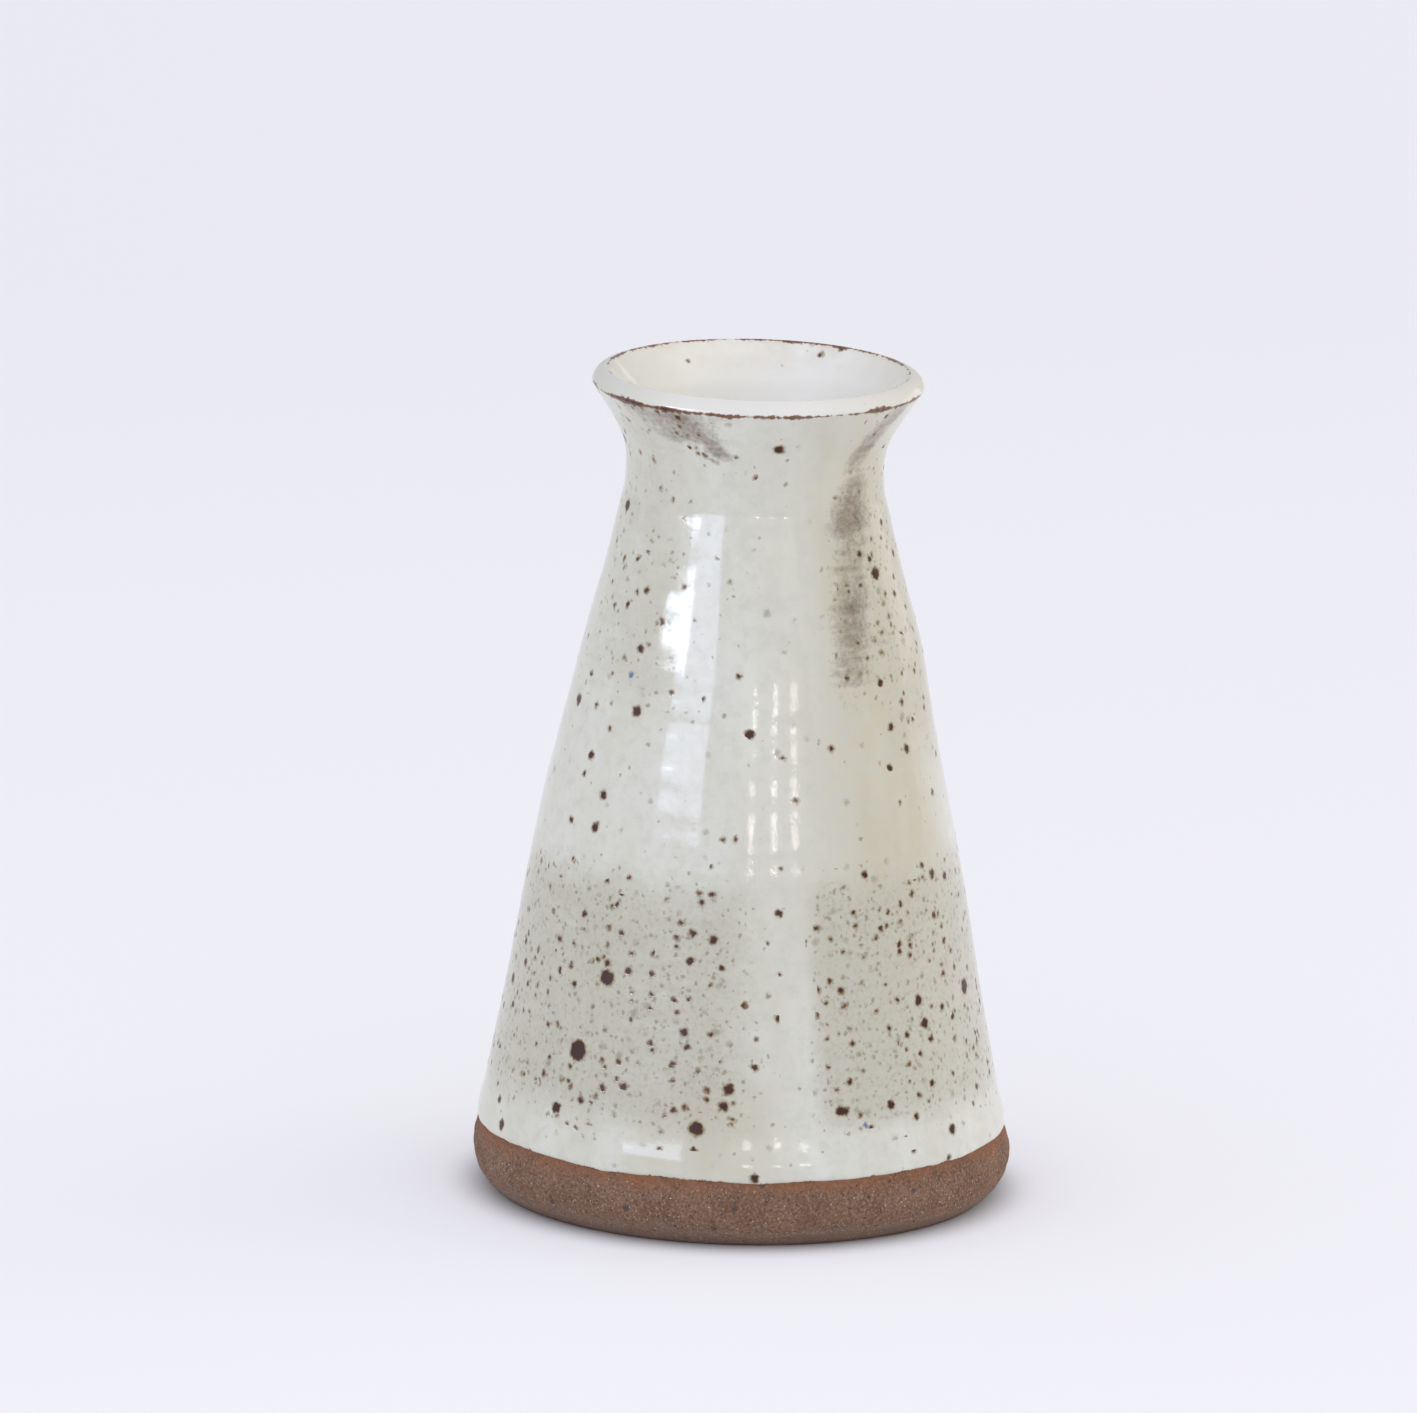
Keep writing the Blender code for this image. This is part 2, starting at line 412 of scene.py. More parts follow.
class Wheel:
    """Turns outlines about the Z axis with one Geometry Nodes tree, and leaves plain meshes."""

    WELD = 0.008
    """Distance in millimetres below which points are joined."""
    SIZES = (
        ("Turns", "NodeSocketInt"),
        ("Ring Depth", "NodeSocketFloat"),
        ("Ring Pitch", "NodeSocketFloat"),
        ("Spiral Depth", "NodeSocketFloat"),
        ("Spiral Pitch", "NodeSocketFloat"),
        ("Waver", "NodeSocketFloat"),
        ("Waver Length", "NodeSocketFloat"),
        ("Seed", "NodeSocketFloat"),
        ("Material", "NodeSocketMaterial"),
    )

    def __init__(self, hand: HandOfTheThrower) -> None:
        """Build the tree.

        Args:
            hand: The sway and the tilt that every piece shares.
        """
        self.hand = hand
        self.tree, self.given = new_group("turned_on_the_wheel", self.SIZES)
        self.lay_tree()

    def lay_tree(self) -> None:
        """Bend a grid of points round the axis, mark it, weld it and give it its material."""
        tree = self.tree
        add = partial(add_node, tree)
        given = self.given
        count = add(
            "GeometryNodeAttributeDomainSize",
            {"Geometry": given["Geometry"]},
            "Point Count",
            component="MESH",
        )
        around = add("ShaderNodeMath", {0: given["Turns"], 1: 1.0}, operation="ADD")
        grid = add(
            "GeometryNodeMeshGrid",
            {"Size X": 1.0, "Size Y": 1.0, "Vertices X": count, "Vertices Y": around},
            "Mesh",
        )
        place = add("GeometryNodeInputPosition")
        share = add("ShaderNodeSeparateXYZ", {0: place}, None).outputs
        last = add("ShaderNodeMath", {0: count, 1: 1.0}, operation="SUBTRACT")
        column = add("ShaderNodeMath", {0: share["X"], 1: 0.5}, operation="ADD")
        column = add("ShaderNodeMath", {0: column, 1: last}, operation="MULTIPLY")
        column = add("ShaderNodeMath", {0: column}, operation="ROUND")
        turn = add("ShaderNodeMath", {0: share["Y"], 1: 0.5}, operation="ADD")
        turn = add("ShaderNodeMath", {0: turn, 1: math.tau}, operation="MULTIPLY")
        sampled = {}
        for name in ("position", "push", "shift", "lean", "tilt", "along"):
            kind = "FLOAT" if name == "along" else "FLOAT_VECTOR"
            value = add("GeometryNodeInputNamedAttribute", {"Name": name}, data_type=kind)
            sampled[name] = add(
                "GeometryNodeSampleIndex",
                {"Geometry": given["Geometry"], "Value": value, "Index": column},
                data_type=kind,
                domain="POINT",
            )
        cosine = add("ShaderNodeMath", {0: turn}, operation="COSINE")
        sine = add("ShaderNodeMath", {0: turn}, operation="SINE")
        outward = add("ShaderNodeCombineXYZ", {"X": cosine, "Y": sine})

        marks = self.ring_marks(sampled["along"], outward, turn)
        waver = self.wavering(outward)
        flat = add(
            "ShaderNodeVectorMath",
            {0: sampled["push"], 1: marks, 2: sampled["position"]},
            operation="MULTIPLY_ADD",
        )
        flat = add(
            "ShaderNodeVectorMath", {0: sampled["shift"], 1: waver, 2: flat}, operation="MULTIPLY_ADD"
        )
        flat = add("ShaderNodeSeparateXYZ", {0: flat}, None).outputs
        round_place = add("ShaderNodeVectorMath", {0: outward, "Scale": flat["X"]}, operation="SCALE")
        rise = add(
            "ShaderNodeVectorMath", {0: sampled["tilt"], 1: round_place}, "Value", operation="DOT_PRODUCT"
        )
        height = add("ShaderNodeMath", {0: flat["Z"], 1: rise}, operation="ADD")
        upright = add("ShaderNodeCombineXYZ", {"Z": height})
        final = add("ShaderNodeVectorMath", {0: round_place, 1: upright}, operation="ADD")
        final = add("ShaderNodeVectorMath", {0: final, 1: sampled["lean"]}, operation="ADD")

        shape = grid
        for name, value in (("along", sampled["along"]), ("level", flat["Z"])):
            shape = add(
                "GeometryNodeStoreNamedAttribute",
                {"Geometry": shape, "Name": name, "Value": value},
                data_type="FLOAT",
                domain="POINT",
            )
        shape = add("GeometryNodeSetPosition", {"Geometry": shape, "Position": final})
        shape = add("GeometryNodeMergeByDistance", {"Geometry": shape, "Distance": self.WELD * MM})
        shape = add("GeometryNodeSetShadeSmooth", {"Geometry": shape})
        shape = add("GeometryNodeRealizeInstances", {"Geometry": shape})
        shape = add("GeometryNodeSetMaterial", {"Geometry": shape, "Material": given["Material"]})
        add("NodeGroupOutput", {"Geometry": shape}, None)

    def ring_marks(self, along: Any, outward: Any, turn: Any) -> Any:
        """Uneven rings from noise that is stretched round the wall, with a fine spiral over them.

        Args:
            along: Distance down the surface.
            outward: Unit vector away from the axis.
            turn: Angle round the axis.

        Returns:
            How far the wall is pushed out.
        """
        tree = self.tree
        add = partial(add_node, tree)
        given = self.given
        level = add("ShaderNodeMath", {0: along, 1: given["Ring Pitch"]}, operation="DIVIDE")
        drift = add("ShaderNodeVectorMath", {0: outward, "Scale": 0.35}, operation="SCALE")
        upright = add("ShaderNodeCombineXYZ", {"Z": level})
        spot = add("ShaderNodeVectorMath", {0: drift, 1: upright}, operation="ADD")
        rings = add(
            "ShaderNodeTexNoise",
            {"Vector": spot, "W": given["Seed"], "Scale": 1.0, "Detail": 2.0, "Roughness": 0.35},
            noise_dimensions="4D",
        )
        rings = add("ShaderNodeMath", {0: rings, 1: 0.5}, operation="SUBTRACT")
        rings = add("ShaderNodeMath", {0: rings, 1: given["Ring Depth"]}, operation="MULTIPLY")
        phase = add("ShaderNodeMath", {0: along, 1: given["Spiral Pitch"]}, operation="DIVIDE")
        phase = add("ShaderNodeMath", {0: phase, 1: math.tau, 2: turn}, operation="MULTIPLY_ADD")
        spiral = add("ShaderNodeMath", {0: phase}, operation="SINE")
        return add(
            "ShaderNodeMath", {0: spiral, 1: given["Spiral Depth"], 2: rings}, operation="MULTIPLY_ADD"
        )

    def wavering(self, outward: Any) -> Any:
        """How far an edge strays up and down as it goes round.

        Args:
            outward: Unit vector away from the axis.

        Returns:
            The edge's offset along the surface.
        """
        tree = self.tree
        add = partial(add_node, tree)
        given = self.given
        typical_radius = 40.0 * MM
        waves = add("ShaderNodeMath", {0: typical_radius, 1: given["Waver Length"]}, operation="DIVIDE")
        spot = add("ShaderNodeVectorMath", {0: outward, "Scale": waves}, operation="SCALE")
        stray = add(
            "ShaderNodeTexNoise",
            {"Vector": spot, "W": given["Seed"], "Scale": 1.0, "Detail": 5.0, "Roughness": 0.58},
            noise_dimensions="4D",
        )
        stray = add("ShaderNodeMath", {0: stray, 1: 0.5}, operation="SUBTRACT")
        return add("ShaderNodeMath", {0: stray, 1: given["Waver"]}, operation="MULTIPLY")

    def turn(
        self, name: str, outline: Outline, marks: ThrowingMarks, material: bpy.types.Material
    ) -> bpy.types.Object:
        """Turn an outline into a closed piece.

        Args:
            name: Name of the piece.
            outline: What is turned.
            marks: The thrower's marks on it.
            material: The piece's finish.

        Returns:
            An object at the origin with a plain mesh.
        """
        heights = outline.points[:, 1]
        count = len(heights)
        upright = {"points": outline.points * MM, "push": outline.push, "shift": outline.shift}
        tables = {label: np.insert(table, 1, 0.0, axis=1) for label, table in upright.items()}
        tables["lean"] = np.column_stack((self.hand.lean(heights), np.zeros(count))) * MM
        tables["tilt"] = np.column_stack((self.hand.tilt(heights), np.zeros(count)))
        chain = bpy.data.meshes.new(name + "_outline")
        chain.from_pydata(tables.pop("points").tolist(), [(i, i + 1) for i in range(count - 1)], [])
        for label, table in tables.items():
            chain.attributes.new(label, "FLOAT_VECTOR", "POINT").data.foreach_set("vector", table.ravel())
        chain.attributes.new("along", "FLOAT", "POINT").data.foreach_set("value", outline.along * MM)

        source = bpy.data.objects.new(name + "_source", chain)
        bpy.context.scene.collection.objects.link(source)
        modifier = source.modifiers.new("turn", "NODES")
        modifier.node_group = self.tree
        values = {
            "Turns": TURNS,
            "Ring Depth": marks.ring_depth * MM,
            "Ring Pitch": marks.ring_pitch * MM,
            "Spiral Depth": marks.spiral_depth * MM,
            "Spiral Pitch": marks.spiral_pitch * MM,
            "Waver": marks.waver * MM,
            "Waver Length": marks.waver_length * MM,
            "Seed": float(marks.seed),
            "Material": material,
        }
        return plain_piece(name, source, modifier, values)


def plain_piece(
    name: str, source: bpy.types.Object, modifier: bpy.types.Modifier, values: dict[str, Any]
) -> bpy.types.Object:
    """Give a Geometry Nodes modifier its inputs, and turn its result into a plain piece.

    Args:
        name: Name of the new piece.
        source: The object that carries the modifier, which is removed afterwards.
        modifier: The modifier.
        values: A value for each named input.

    Returns:
        An object at the origin with a plain mesh that faces outwards.
    """
    for item in modifier.node_group.interface.items_tree:
        if item.item_type == "SOCKET" and item.in_out == "INPUT" and item.name in values:
            modifier[item.identifier] = values[item.name]
    bpy.context.view_layer.update()
    mesh = bpy.data.meshes.new_from_object(source.evaluated_get(bpy.context.evaluated_depsgraph_get()))
    mesh.name = name
    bpy.data.objects.remove(source, do_unlink=True)
    if signed_volume(mesh) < 0:
        mesh.flip_normals()
    sharpest_smooth = math.radians(50)
    mesh.set_sharp_from_angle(angle=sharpest_smooth)
    piece = bpy.data.objects.new(name, mesh)
    bpy.context.scene.collection.objects.link(piece)
    return piece


def signed_volume(mesh: bpy.types.Mesh) -> float:
    """Volume inside a mesh, below zero where its faces point inwards."""
    mesh.calc_loop_triangles()
    corners = np.empty(len(mesh.loop_triangles) * 3, dtype=np.int32)
    mesh.loop_triangles.foreach_get("vertices", corners)
    places = np.empty(len(mesh.vertices) * 3)
    mesh.vertices.foreach_get("co", places)
    a, b, c = places.reshape(-1, 3)[corners.reshape(-1, 3)].transpose(1, 0, 2)
    return float((np.cross(a, b) * c).sum() / 6)


# ------------------------------------------------------------------------------------------------
# Finishes
# ------------------------------------------------------------------------------------------------


@dataclass(frozen=True)
class Patch:
    """A part of the wall: its middle, its half sizes in degrees and millimetres, and its strength."""

    angle: float
    height: float
    half_angle: float
    half_height: float
    strength: float = 1.0
    slant: float = 0.0
    soft_sides: float = 0.5
    soft_ends: float = 0.5

    def cover(self, angle: np.ndarray, height: np.ndarray) -> np.ndarray:
        """How strongly the patch covers each place.

        Args:
            angle: Angles from the front in degrees, positive to the right.
            height: Heights in millimetres.

        Returns:
            Values from 0 to the patch's strength.
        """
        up = height - self.height
        turn = (angle - self.angle - self.slant * up + 180.0) % 360.0 - 180.0
        sides = ramp(np.abs(turn) / self.half_angle, 1 + self.soft_sides, 1 - self.soft_sides)
        ends = ramp(np.abs(up) / self.half_height, 1 + self.soft_ends, 1 - self.soft_ends)
        return self.strength * sides * ends


@dataclass(frozen=True)
class Spot:
    """One large spot: its angle from the front in degrees, its height and its width in millimetres."""

    angle: float
    height: float
    width: float
    inside: bool = False


POURS = {
    "thin": (
        Patch(-57, 35.5, 58, 18.0, 0.95, soft_sides=0.16, soft_ends=0.26),
        Patch(60, 36.0, 42, 18.0, 1.0, soft_sides=0.1, soft_ends=0.22),
        Patch(150, 34.0, 42, 17.0, 0.9, soft_sides=0.15, soft_ends=0.35),
        Patch(-148, 36.0, 27, 18.0, 0.9, soft_sides=0.2, soft_ends=0.35),
        Patch(-44, 90.0, 26, 11.0, 0.4, soft_sides=0.7, soft_ends=0.4),
        Patch(48, 93.0, 14, 13.0, 0.5, slant=0.35),
        Patch(135, 84.0, 32, 12.0, 0.5, soft_ends=0.3),
        Patch(-62, 112.0, 22, 12.0, 0.4),
        Patch(66, 92.0, 20, 22.0, 0.55),
        Patch(-125, 92.0, 22, 14.0, 0.5, soft_ends=0.3),
    ),
    "smudge": (
        Patch(47, 107.5, 13, 6.0, 1.0, slant=0.6, soft_sides=0.9, soft_ends=0.9),
        Patch(40, 94.0, 10, 13.0, 0.85, slant=0.4, soft_sides=0.95, soft_ends=0.7),
        Patch(54, 90.0, 6, 7.0, 0.45, slant=-0.3, soft_sides=0.8),
        Patch(54, 119.5, 8, 6.0, 0.85, slant=1.3, soft_sides=0.7),
        Patch(-32, 121.5, 19, 4.0, 0.9, slant=-2.6, soft_sides=0.7, soft_ends=0.8),
        Patch(-18, 118.8, 5.5, 2.5, 1.0, slant=-2.2, soft_sides=0.7, soft_ends=0.8),
        Patch(27, 50.0, 9, 5.5, 0.4, soft_sides=0.6, soft_ends=0.8),
        Patch(72, 49.0, 26, 6.0, 0.3, soft_sides=0.8, soft_ends=0.9),
        Patch(-52, 82.0, 22, 3.0, 0.3, soft_sides=0.6, soft_ends=0.9),
        # A faint brown band that follows the crease under the neck, across the front.
        Patch(-10, 108.4, 70, 0.9, 0.3, soft_sides=0.3, soft_ends=0.9),
        Patch(-36, 123.6, 30, 1.3, 0.6, soft_sides=0.6, soft_ends=0.8),
        Patch(150, 108.0, 10, 10.0, 0.7, slant=-0.6, soft_sides=0.7),
        Patch(-105, 118.0, 11, 5.0, 0.7, slant=1.2, soft_sides=0.7),
        Patch(-160, 50.0, 24, 6.0, 0.35, soft_sides=0.8, soft_ends=0.9),
    ),
    "specked": (
        Patch(-50, 91.0, 26, 11.5, 0.6, soft_sides=0.4, soft_ends=0.3),
        Patch(-48, 110.0, 22, 8.0, 0.25),
        Patch(-20, 118.6, 10, 4.0, 1.4, slant=-2.2),
        Patch(-42, 122.5, 18, 2.5, 1.0),
        Patch(50, 91.0, 15, 11.0, 0.8),
        Patch(54, 118.0, 10, 8.0, 0.4),
        Patch(110, 98.0, 30, 14.0, 0.6),
        Patch(-170, 96.0, 30, 12.0, 0.7),
    ),
    # The two patches on the right are partly cream runs in the glaze and partly painted warm light and
    # shade on that side.
    "cream": (
        Patch(44, 76.0, 24, 46.0, 1.0),
        Patch(62, 94.0, 26, 24.0, 1.35),
        Patch(-8, 17.0, 14, 7.0, 0.7),
        Patch(-150, 80.0, 30, 50.0, 0.7),
    ),
}

IRON_SPOTS = (
    Spot(-42, 27.0, 3.0),
    Spot(-36, 38.5, 2.2),
    Spot(-10, 18.0, 2.1),
    Spot(-3, 24.0, 1.6),
    Spot(-4, 21.5, 1.3),
    Spot(-46, 18.0, 1.5),
    Spot(-65, 12.5, 1.5),
    Spot(-39, 78.0, 1.4),
    Spot(-71, 77.0, 1.6),
    Spot(-47, 60.0, 1.3),
    Spot(-46, 65.0, 1.2),
    Spot(-58, 60.0, 0.9),
    Spot(70, 34.5, 2.2),
    Spot(56, 98.0, 1.7),
    Spot(9, 118.5, 1.4),
    Spot(-71, 106.5, 1.6),
    Spot(23, 20.5, 1.4),
    Spot(36, 20.5, 1.1),
    Spot(54, 15.0, 1.4),
    Spot(48, 35.0, 1.4),
    Spot(-28, 23.0, 1.1),
    Spot(-8, 46.0, 1.2),
    Spot(9, 50.0, 0.9),
    Spot(-14, 32.0, 1.1),
    Spot(-42, 87.0, 1.0),
    Spot(57, 72.0, 1.2),
    Spot(3, 11.0, 1.1),
    Spot(112, 30.0, 2.3),
    Spot(141, 62.0, 1.4),
    Spot(166, 22.0, 1.8),
    Spot(-112, 44.0, 1.7),
    Spot(-140, 84.0, 1.3),
    Spot(-163, 28.0, 2.5),
    Spot(126, 92.0, 1.2),
    Spot(-95, 26.0, 1.4),
)

MOUTH_SPOTS = (
    Spot(154, 124.9, 0.6, inside=True),
    Spot(146, 126.0, 0.5, inside=True),
)

COBALT_SPOTS = (Spot(-44, 83.0, 1.0), Spot(29, 18.0, 1.0), Spot(-170, 70.0, 1.0))

Cover = tuple[Any, str]
"""A share from 0 to 1, and the colour that it lays over what is below it."""


def graded(
    tree: bpy.types.NodeTree, rows: tuple[tuple[Any, float, float, float, str], ...]
) -> list[Cover]:
    """Covers that grow softly from nothing, where a value is low, to their most.

    Args:
        tree: The material's tree.
        rows: The value of each cover, where it starts, where it is full, its most and its colour.

    Returns:
        The covers.
    """
    covers = []
    for value, start, full, most, tint in rows:
        share = add_node(
            tree,
            "ShaderNodeMapRange",
            {"Value": value, "From Min": start, "From Max": full, "To Max": most},
            interpolation_type="SMOOTHSTEP",
        )
        covers.append((share, tint))
    return covers


def lay_covers(tree: bpy.types.NodeTree, base: str, covers: list[Cover]) -> Any:
    """Lay covers one over the other.

    Args:
        tree: The material's tree.
        base: The colour under them all.
        covers: The covers, from the lowest up.

    Returns:
        The colour that is seen.
    """
    colour = linear(base)
    for share, tint in covers:
        colour = add_node(
            tree,
            "ShaderNodeMix",
            {0: share, 6: colour, 7: linear(tint)},
            2,
            data_type="RGBA",
            clamp_factor=True,
        )
    return colour


@dataclass(frozen=True)
class SpeckledGlaze:
    """Off-white reduction glaze on iron-bearing stoneware, poured and dipped by hand.

    Where it lies thick it is milky white. Where it lies thin the clay greys it, and iron from the clay
    bleeds through as brown specks with soft olive rims. It breaks to rust brown on sharp edges. Its gloss
    is wet but never flat, so a window in it comes back ragged.
    """

    name: str
    form: VaseForm
    hand: HandOfTheThrower
    spots: tuple[Spot, ...] = ()
    blue_spots: tuple[Spot, ...] = ()
    speckle: float = 0.02
    roughness: float = 0.07
    milk: str = "#DEDFD6"
    # Cream glaze; on the right of the body and of the lip it is partly painted warm light.
    cream: str = "#C9C4AD"
    # Also laid over the lip's left side as painted shade.
    haze: str = "#CBCCC0"
    thin: str = "#C2C0AF"
    clouded: str = "#A39D8A"
    smudge: str = "#664B3B"
    lip: str = "#ECEBE4"
    liner: str = "#FAFAF6"
    # Painted warm shade on the left of the inside, and painted cool light on its right.
    cream_liner_shade: str = "#F7F3E1"
    cool_liner_light: str = "#FAFCFF"
    honey: str = "#CDB98A"
    dust: str = "#8A846F"
    olive: str = "#8B8263"
    rust: str = "#704427"
    iron: str = "#38190B"
    cobalt: str = "#46598E"
    peel_width: float = 1.2
    peel_depth: float = 0.015
    ring_pitch: float = 0.9

    def build(self) -> bpy.types.Material:
        """Make the material, as covers of colour laid one over the other."""
        material, tree, shader = new_material(self.name)
        add = partial(add_node, tree)
        shader["IOR"].default_value = 1.52
        shader["Specular IOR Level"].default_value = 0.33
        place = add("ShaderNodeTexCoord", out="Object")
        place = add("ShaderNodeVectorMath", {0: place, "Scale": 1 / MM}, operation="SCALE")
        along = add("ShaderNodeAttribute", out="Fac", attribute_name="along")
        along = add("ShaderNodeMath", {0: along, 1: 1 / MM}, operation="MULTIPLY")
        poured = {name: add("ShaderNodeAttribute", out="Fac", attribute_name=name) for name in POURS}
        speck_covers, near = self.specks(tree, place, poured)
        covers = [
            *self.thick_glaze(tree, place, poured),
            *self.thin_glaze(tree, place, poured),
            *self.lip_and_liner(tree, place, along),
            *speck_covers,
            *self.iron_lines(tree, place, along, poured["smudge"]),
        ]
        rough = add(
            "ShaderNodeMapRange",
            {"Value": near, "From Min": 0.1, "From Max": -0.2, "To Min": self.roughness, "To Max": 0.3},
        )
        rough = add("ShaderNodeMath", {0: poured["thin"], 1: 0.06, 2: rough}, operation="MULTIPLY_ADD")
        tree.links.new(lay_covers(tree, self.milk, covers), shader["Base Color"])
        tree.links.new(rough, shader["Roughness"])
        tree.links.new(self.relief(tree, place, near), shader["Normal"])
        return material

    def thick_glaze(self, tree: bpy.types.NodeTree, place: Any, poured: dict[str, Any]) -> list[Cover]:
        """Milk white, with cream where it has run down the wall, and a faint haze. The cream on the right
        side is partly painted warm light and shade.

        Args:
            tree: The material's tree.
            place: The place in millimetres.
            poured: How the glaze was poured, by name.

        Returns:
            The covers.
        """
        add = partial(add_node, tree)
        cream_and_warm_light = add("ShaderNodeVectorMath", {0: place, 1: (0.11, 0.11, 0.014)}, operation="MULTIPLY")
        cream_and_warm_light = add("ShaderNodeTexNoise", {"Vector": cream_and_warm_light, "Scale": 1.0, "Detail": 3.0})
        cream_and_warm_light = add("ShaderNodeMapRange", {"Value": cream_and_warm_light, "From Min": 0.38, "From Max": 0.7, "To Max": 0.45})
        cream_and_warm_light = add("ShaderNodeMath", {0: poured["cream"], 1: 0.75, 2: cream_and_warm_light}, operation="MULTIPLY_ADD")
        clouds = add(
            "ShaderNodeTexNoise", {"Vector": place, "Scale": 0.45, "Detail": 6.0, "Roughness": 0.7}
        )
        haze = add(
            "ShaderNodeMapRange", {"Value": clouds, "From Min": 0.45, "From Max": 0.75, "To Max": 0.8}
        )
        return [(cream_and_warm_light, self.cream), (haze, self.haze)]

    def thin_glaze(self, tree: bpy.types.NodeTree, place: Any, poured: dict[str, Any]) -> list[Cover]:
        """Thin glaze, greyed and clouded by the clay, with grainy brown smudges where it is thinnest.

        Args:
            tree: The material's tree.
            place: The place in millimetres.
            poured: How the glaze was poured, by name.

        Returns:
            The covers.
        """
        add = partial(add_node, tree)
        level = add("ShaderNodeVectorMath", {0: place, 1: (0.07, 0.07, 0.6)}, operation="MULTIPLY")
        bands = add("ShaderNodeTexNoise", {"Vector": level, "Scale": 1.0, "Detail": 4.0, "Roughness": 0.65})
        clouds = add(
            "ShaderNodeTexNoise", {"Vector": place, "Scale": 0.3, "Detail": 7.0, "Roughness": 0.66}
        )
        loose = add("ShaderNodeMath", {0: bands, 1: clouds}, operation="ADD")
        edge = add("ShaderNodeMath", {0: poured["thin"], 1: 1.5, 2: loose}, operation="MULTIPLY_ADD")
        thin = add("ShaderNodeMapRange", {"Value": edge, "From Min": 1.2, "From Max": 2.7, "To Max": 0.95})
        grain = add("ShaderNodeTexNoise", {"Vector": place, "Scale": 1.3, "Detail": 5.0, "Roughness": 0.68})
        clouded = add(
            "ShaderNodeMapRange", {"Value": grain, "From Min": 0.5, "From Max": 0.75, "To Max": 0.75}
        )
        clouded = add("ShaderNodeMath", {0: clouded, 1: thin}, operation="MULTIPLY")
        grimy = add("ShaderNodeMath", {0: grain, 1: clouds}, operation="ADD")
        grimy = add("ShaderNodeMath", {0: grimy, 1: bands}, operation="ADD")
        grimy = add("ShaderNodeMath", {0: poured["smudge"], 1: 1.25, 2: grimy}, operation="MULTIPLY_ADD")
        grimy = add(
            "ShaderNodeMapRange", {"Value": grimy, "From Min": 2.05, "From Max": 3.1, "To Max": 0.95}
        )
        return [(thin, self.thin), (clouded, self.clouded), (grimy, self.smudge)]

    def lip_and_liner(self, tree: bpy.types.NodeTree, place: Any, along: Any) -> list[Cover]:
        """Whiter glaze over the lip, and cream inside with a honey tint just under the edge. Its tints by
        side are painted light and shade.

        Args:
            tree: The material's tree.
            place: The place in millimetres.
            along: Distance from the lip's outer edge.

        Returns:
            The covers.
        """
        add = partial(add_node, tree)
        mouth = -self.form.lip_width
        on_lip = add("ShaderNodeMapRange", {"Value": along, "From Min": 0.3, "From Max": -0.3})
        in_mouth = add(
            "ShaderNodeMapRange", {"Value": along, "From Min": mouth + 0.2, "From Max": mouth - 1.0}
        )
        stain = add("ShaderNodeTexNoise", {"Vector": place, "Scale": 0.16, "Detail": 4.0, "Roughness": 0.6})
        stain = add("ShaderNodeMapRange", {"Value": stain, "From Min": 0.38, "From Max": 0.6})
        fade = add(
            "ShaderNodeMapRange",
            {"Value": along, "From Min": mouth - 7.0, "From Max": mouth - 0.2, "To Max": 0.4},
        )
        edge = add("ShaderNodeMapRange", {"Value": along, "From Min": mouth + 0.4, "From Max": mouth - 0.1})
        stain = add("ShaderNodeMath", {0: stain, 1: fade}, operation="MULTIPLY")
        stain = add("ShaderNodeMath", {0: stain, 1: edge}, operation="MULTIPLY")
        covers = [(on_lip, self.lip), (in_mouth, self.liner), (stain, self.honey)]
        # Tints by side are painted light and shade over the glaze's own tint: inside, warm shade on the
        # left and cool light on the right; on the lip, grey shade on the left and warm light on the right.
        across = add("ShaderNodeSeparateXYZ", {0: place}, "X")
        for part, near, far, most, tint in (
            (in_mouth, 4.0, -20.0, 0.8, self.cream_liner_shade),
            (in_mouth, 0.0, 22.0, 0.7, self.cool_liner_light),
            (on_lip, -10.0, -24.0, 0.75, self.haze),
            (on_lip, 8.0, 23.0, 0.5, self.cream),
        ):
            side = add(
                "ShaderNodeMapRange", {"Value": across, "From Min": near, "From Max": far, "To Max": most}
            )
            side = add("ShaderNodeMath", {0: side, 1: part}, operation="MULTIPLY")
            covers.append((side, tint))
        return covers

    def speck_field(
        self, tree: bpy.types.NodeTree, place: Any, spacing: float, largest: float, chance: Any
    ) -> Any:
        """Distance to the rim of the nearest random speck, below zero inside it.

        Args:
            tree: The material's tree.
            place: The strayed place in millimetres.
            spacing: Typical distance between specks.
            largest: Radius of the largest speck.
            chance: Share of the possible specks that show.

        Returns:
            The distance in millimetres.
        """
        add = partial(add_node, tree)
        cell = add(
            "ShaderNodeTexVoronoi", {"Vector": place, "Scale": 1 / spacing, "Randomness": 1.0}, None
        ).outputs
        away = add("ShaderNodeMath", {0: cell["Distance"], 1: spacing}, operation="MULTIPLY")
        dice = add("ShaderNodeSeparateColor", {0: cell["Color"]}, None).outputs
        squared = add("ShaderNodeMath", {0: dice["Green"], 1: 2.0}, operation="POWER")
        radius = add("ShaderNodeMapRange", {"Value": squared, "To Min": 0.35 * largest, "To Max": largest})
        shown = add("ShaderNodeMath", {0: dice["Red"], 1: chance}, operation="LESS_THAN")
        radius = add("ShaderNodeMath", {0: radius, 1: shown}, operation="MULTIPLY")
        absent = add("ShaderNodeMath", {0: shown, 1: -9.0, 2: 9.0}, operation="MULTIPLY_ADD")
        rim = add("ShaderNodeMath", {0: away, 1: radius}, operation="SUBTRACT")
        return add("ShaderNodeMath", {0: rim, 1: absent}, operation="ADD")

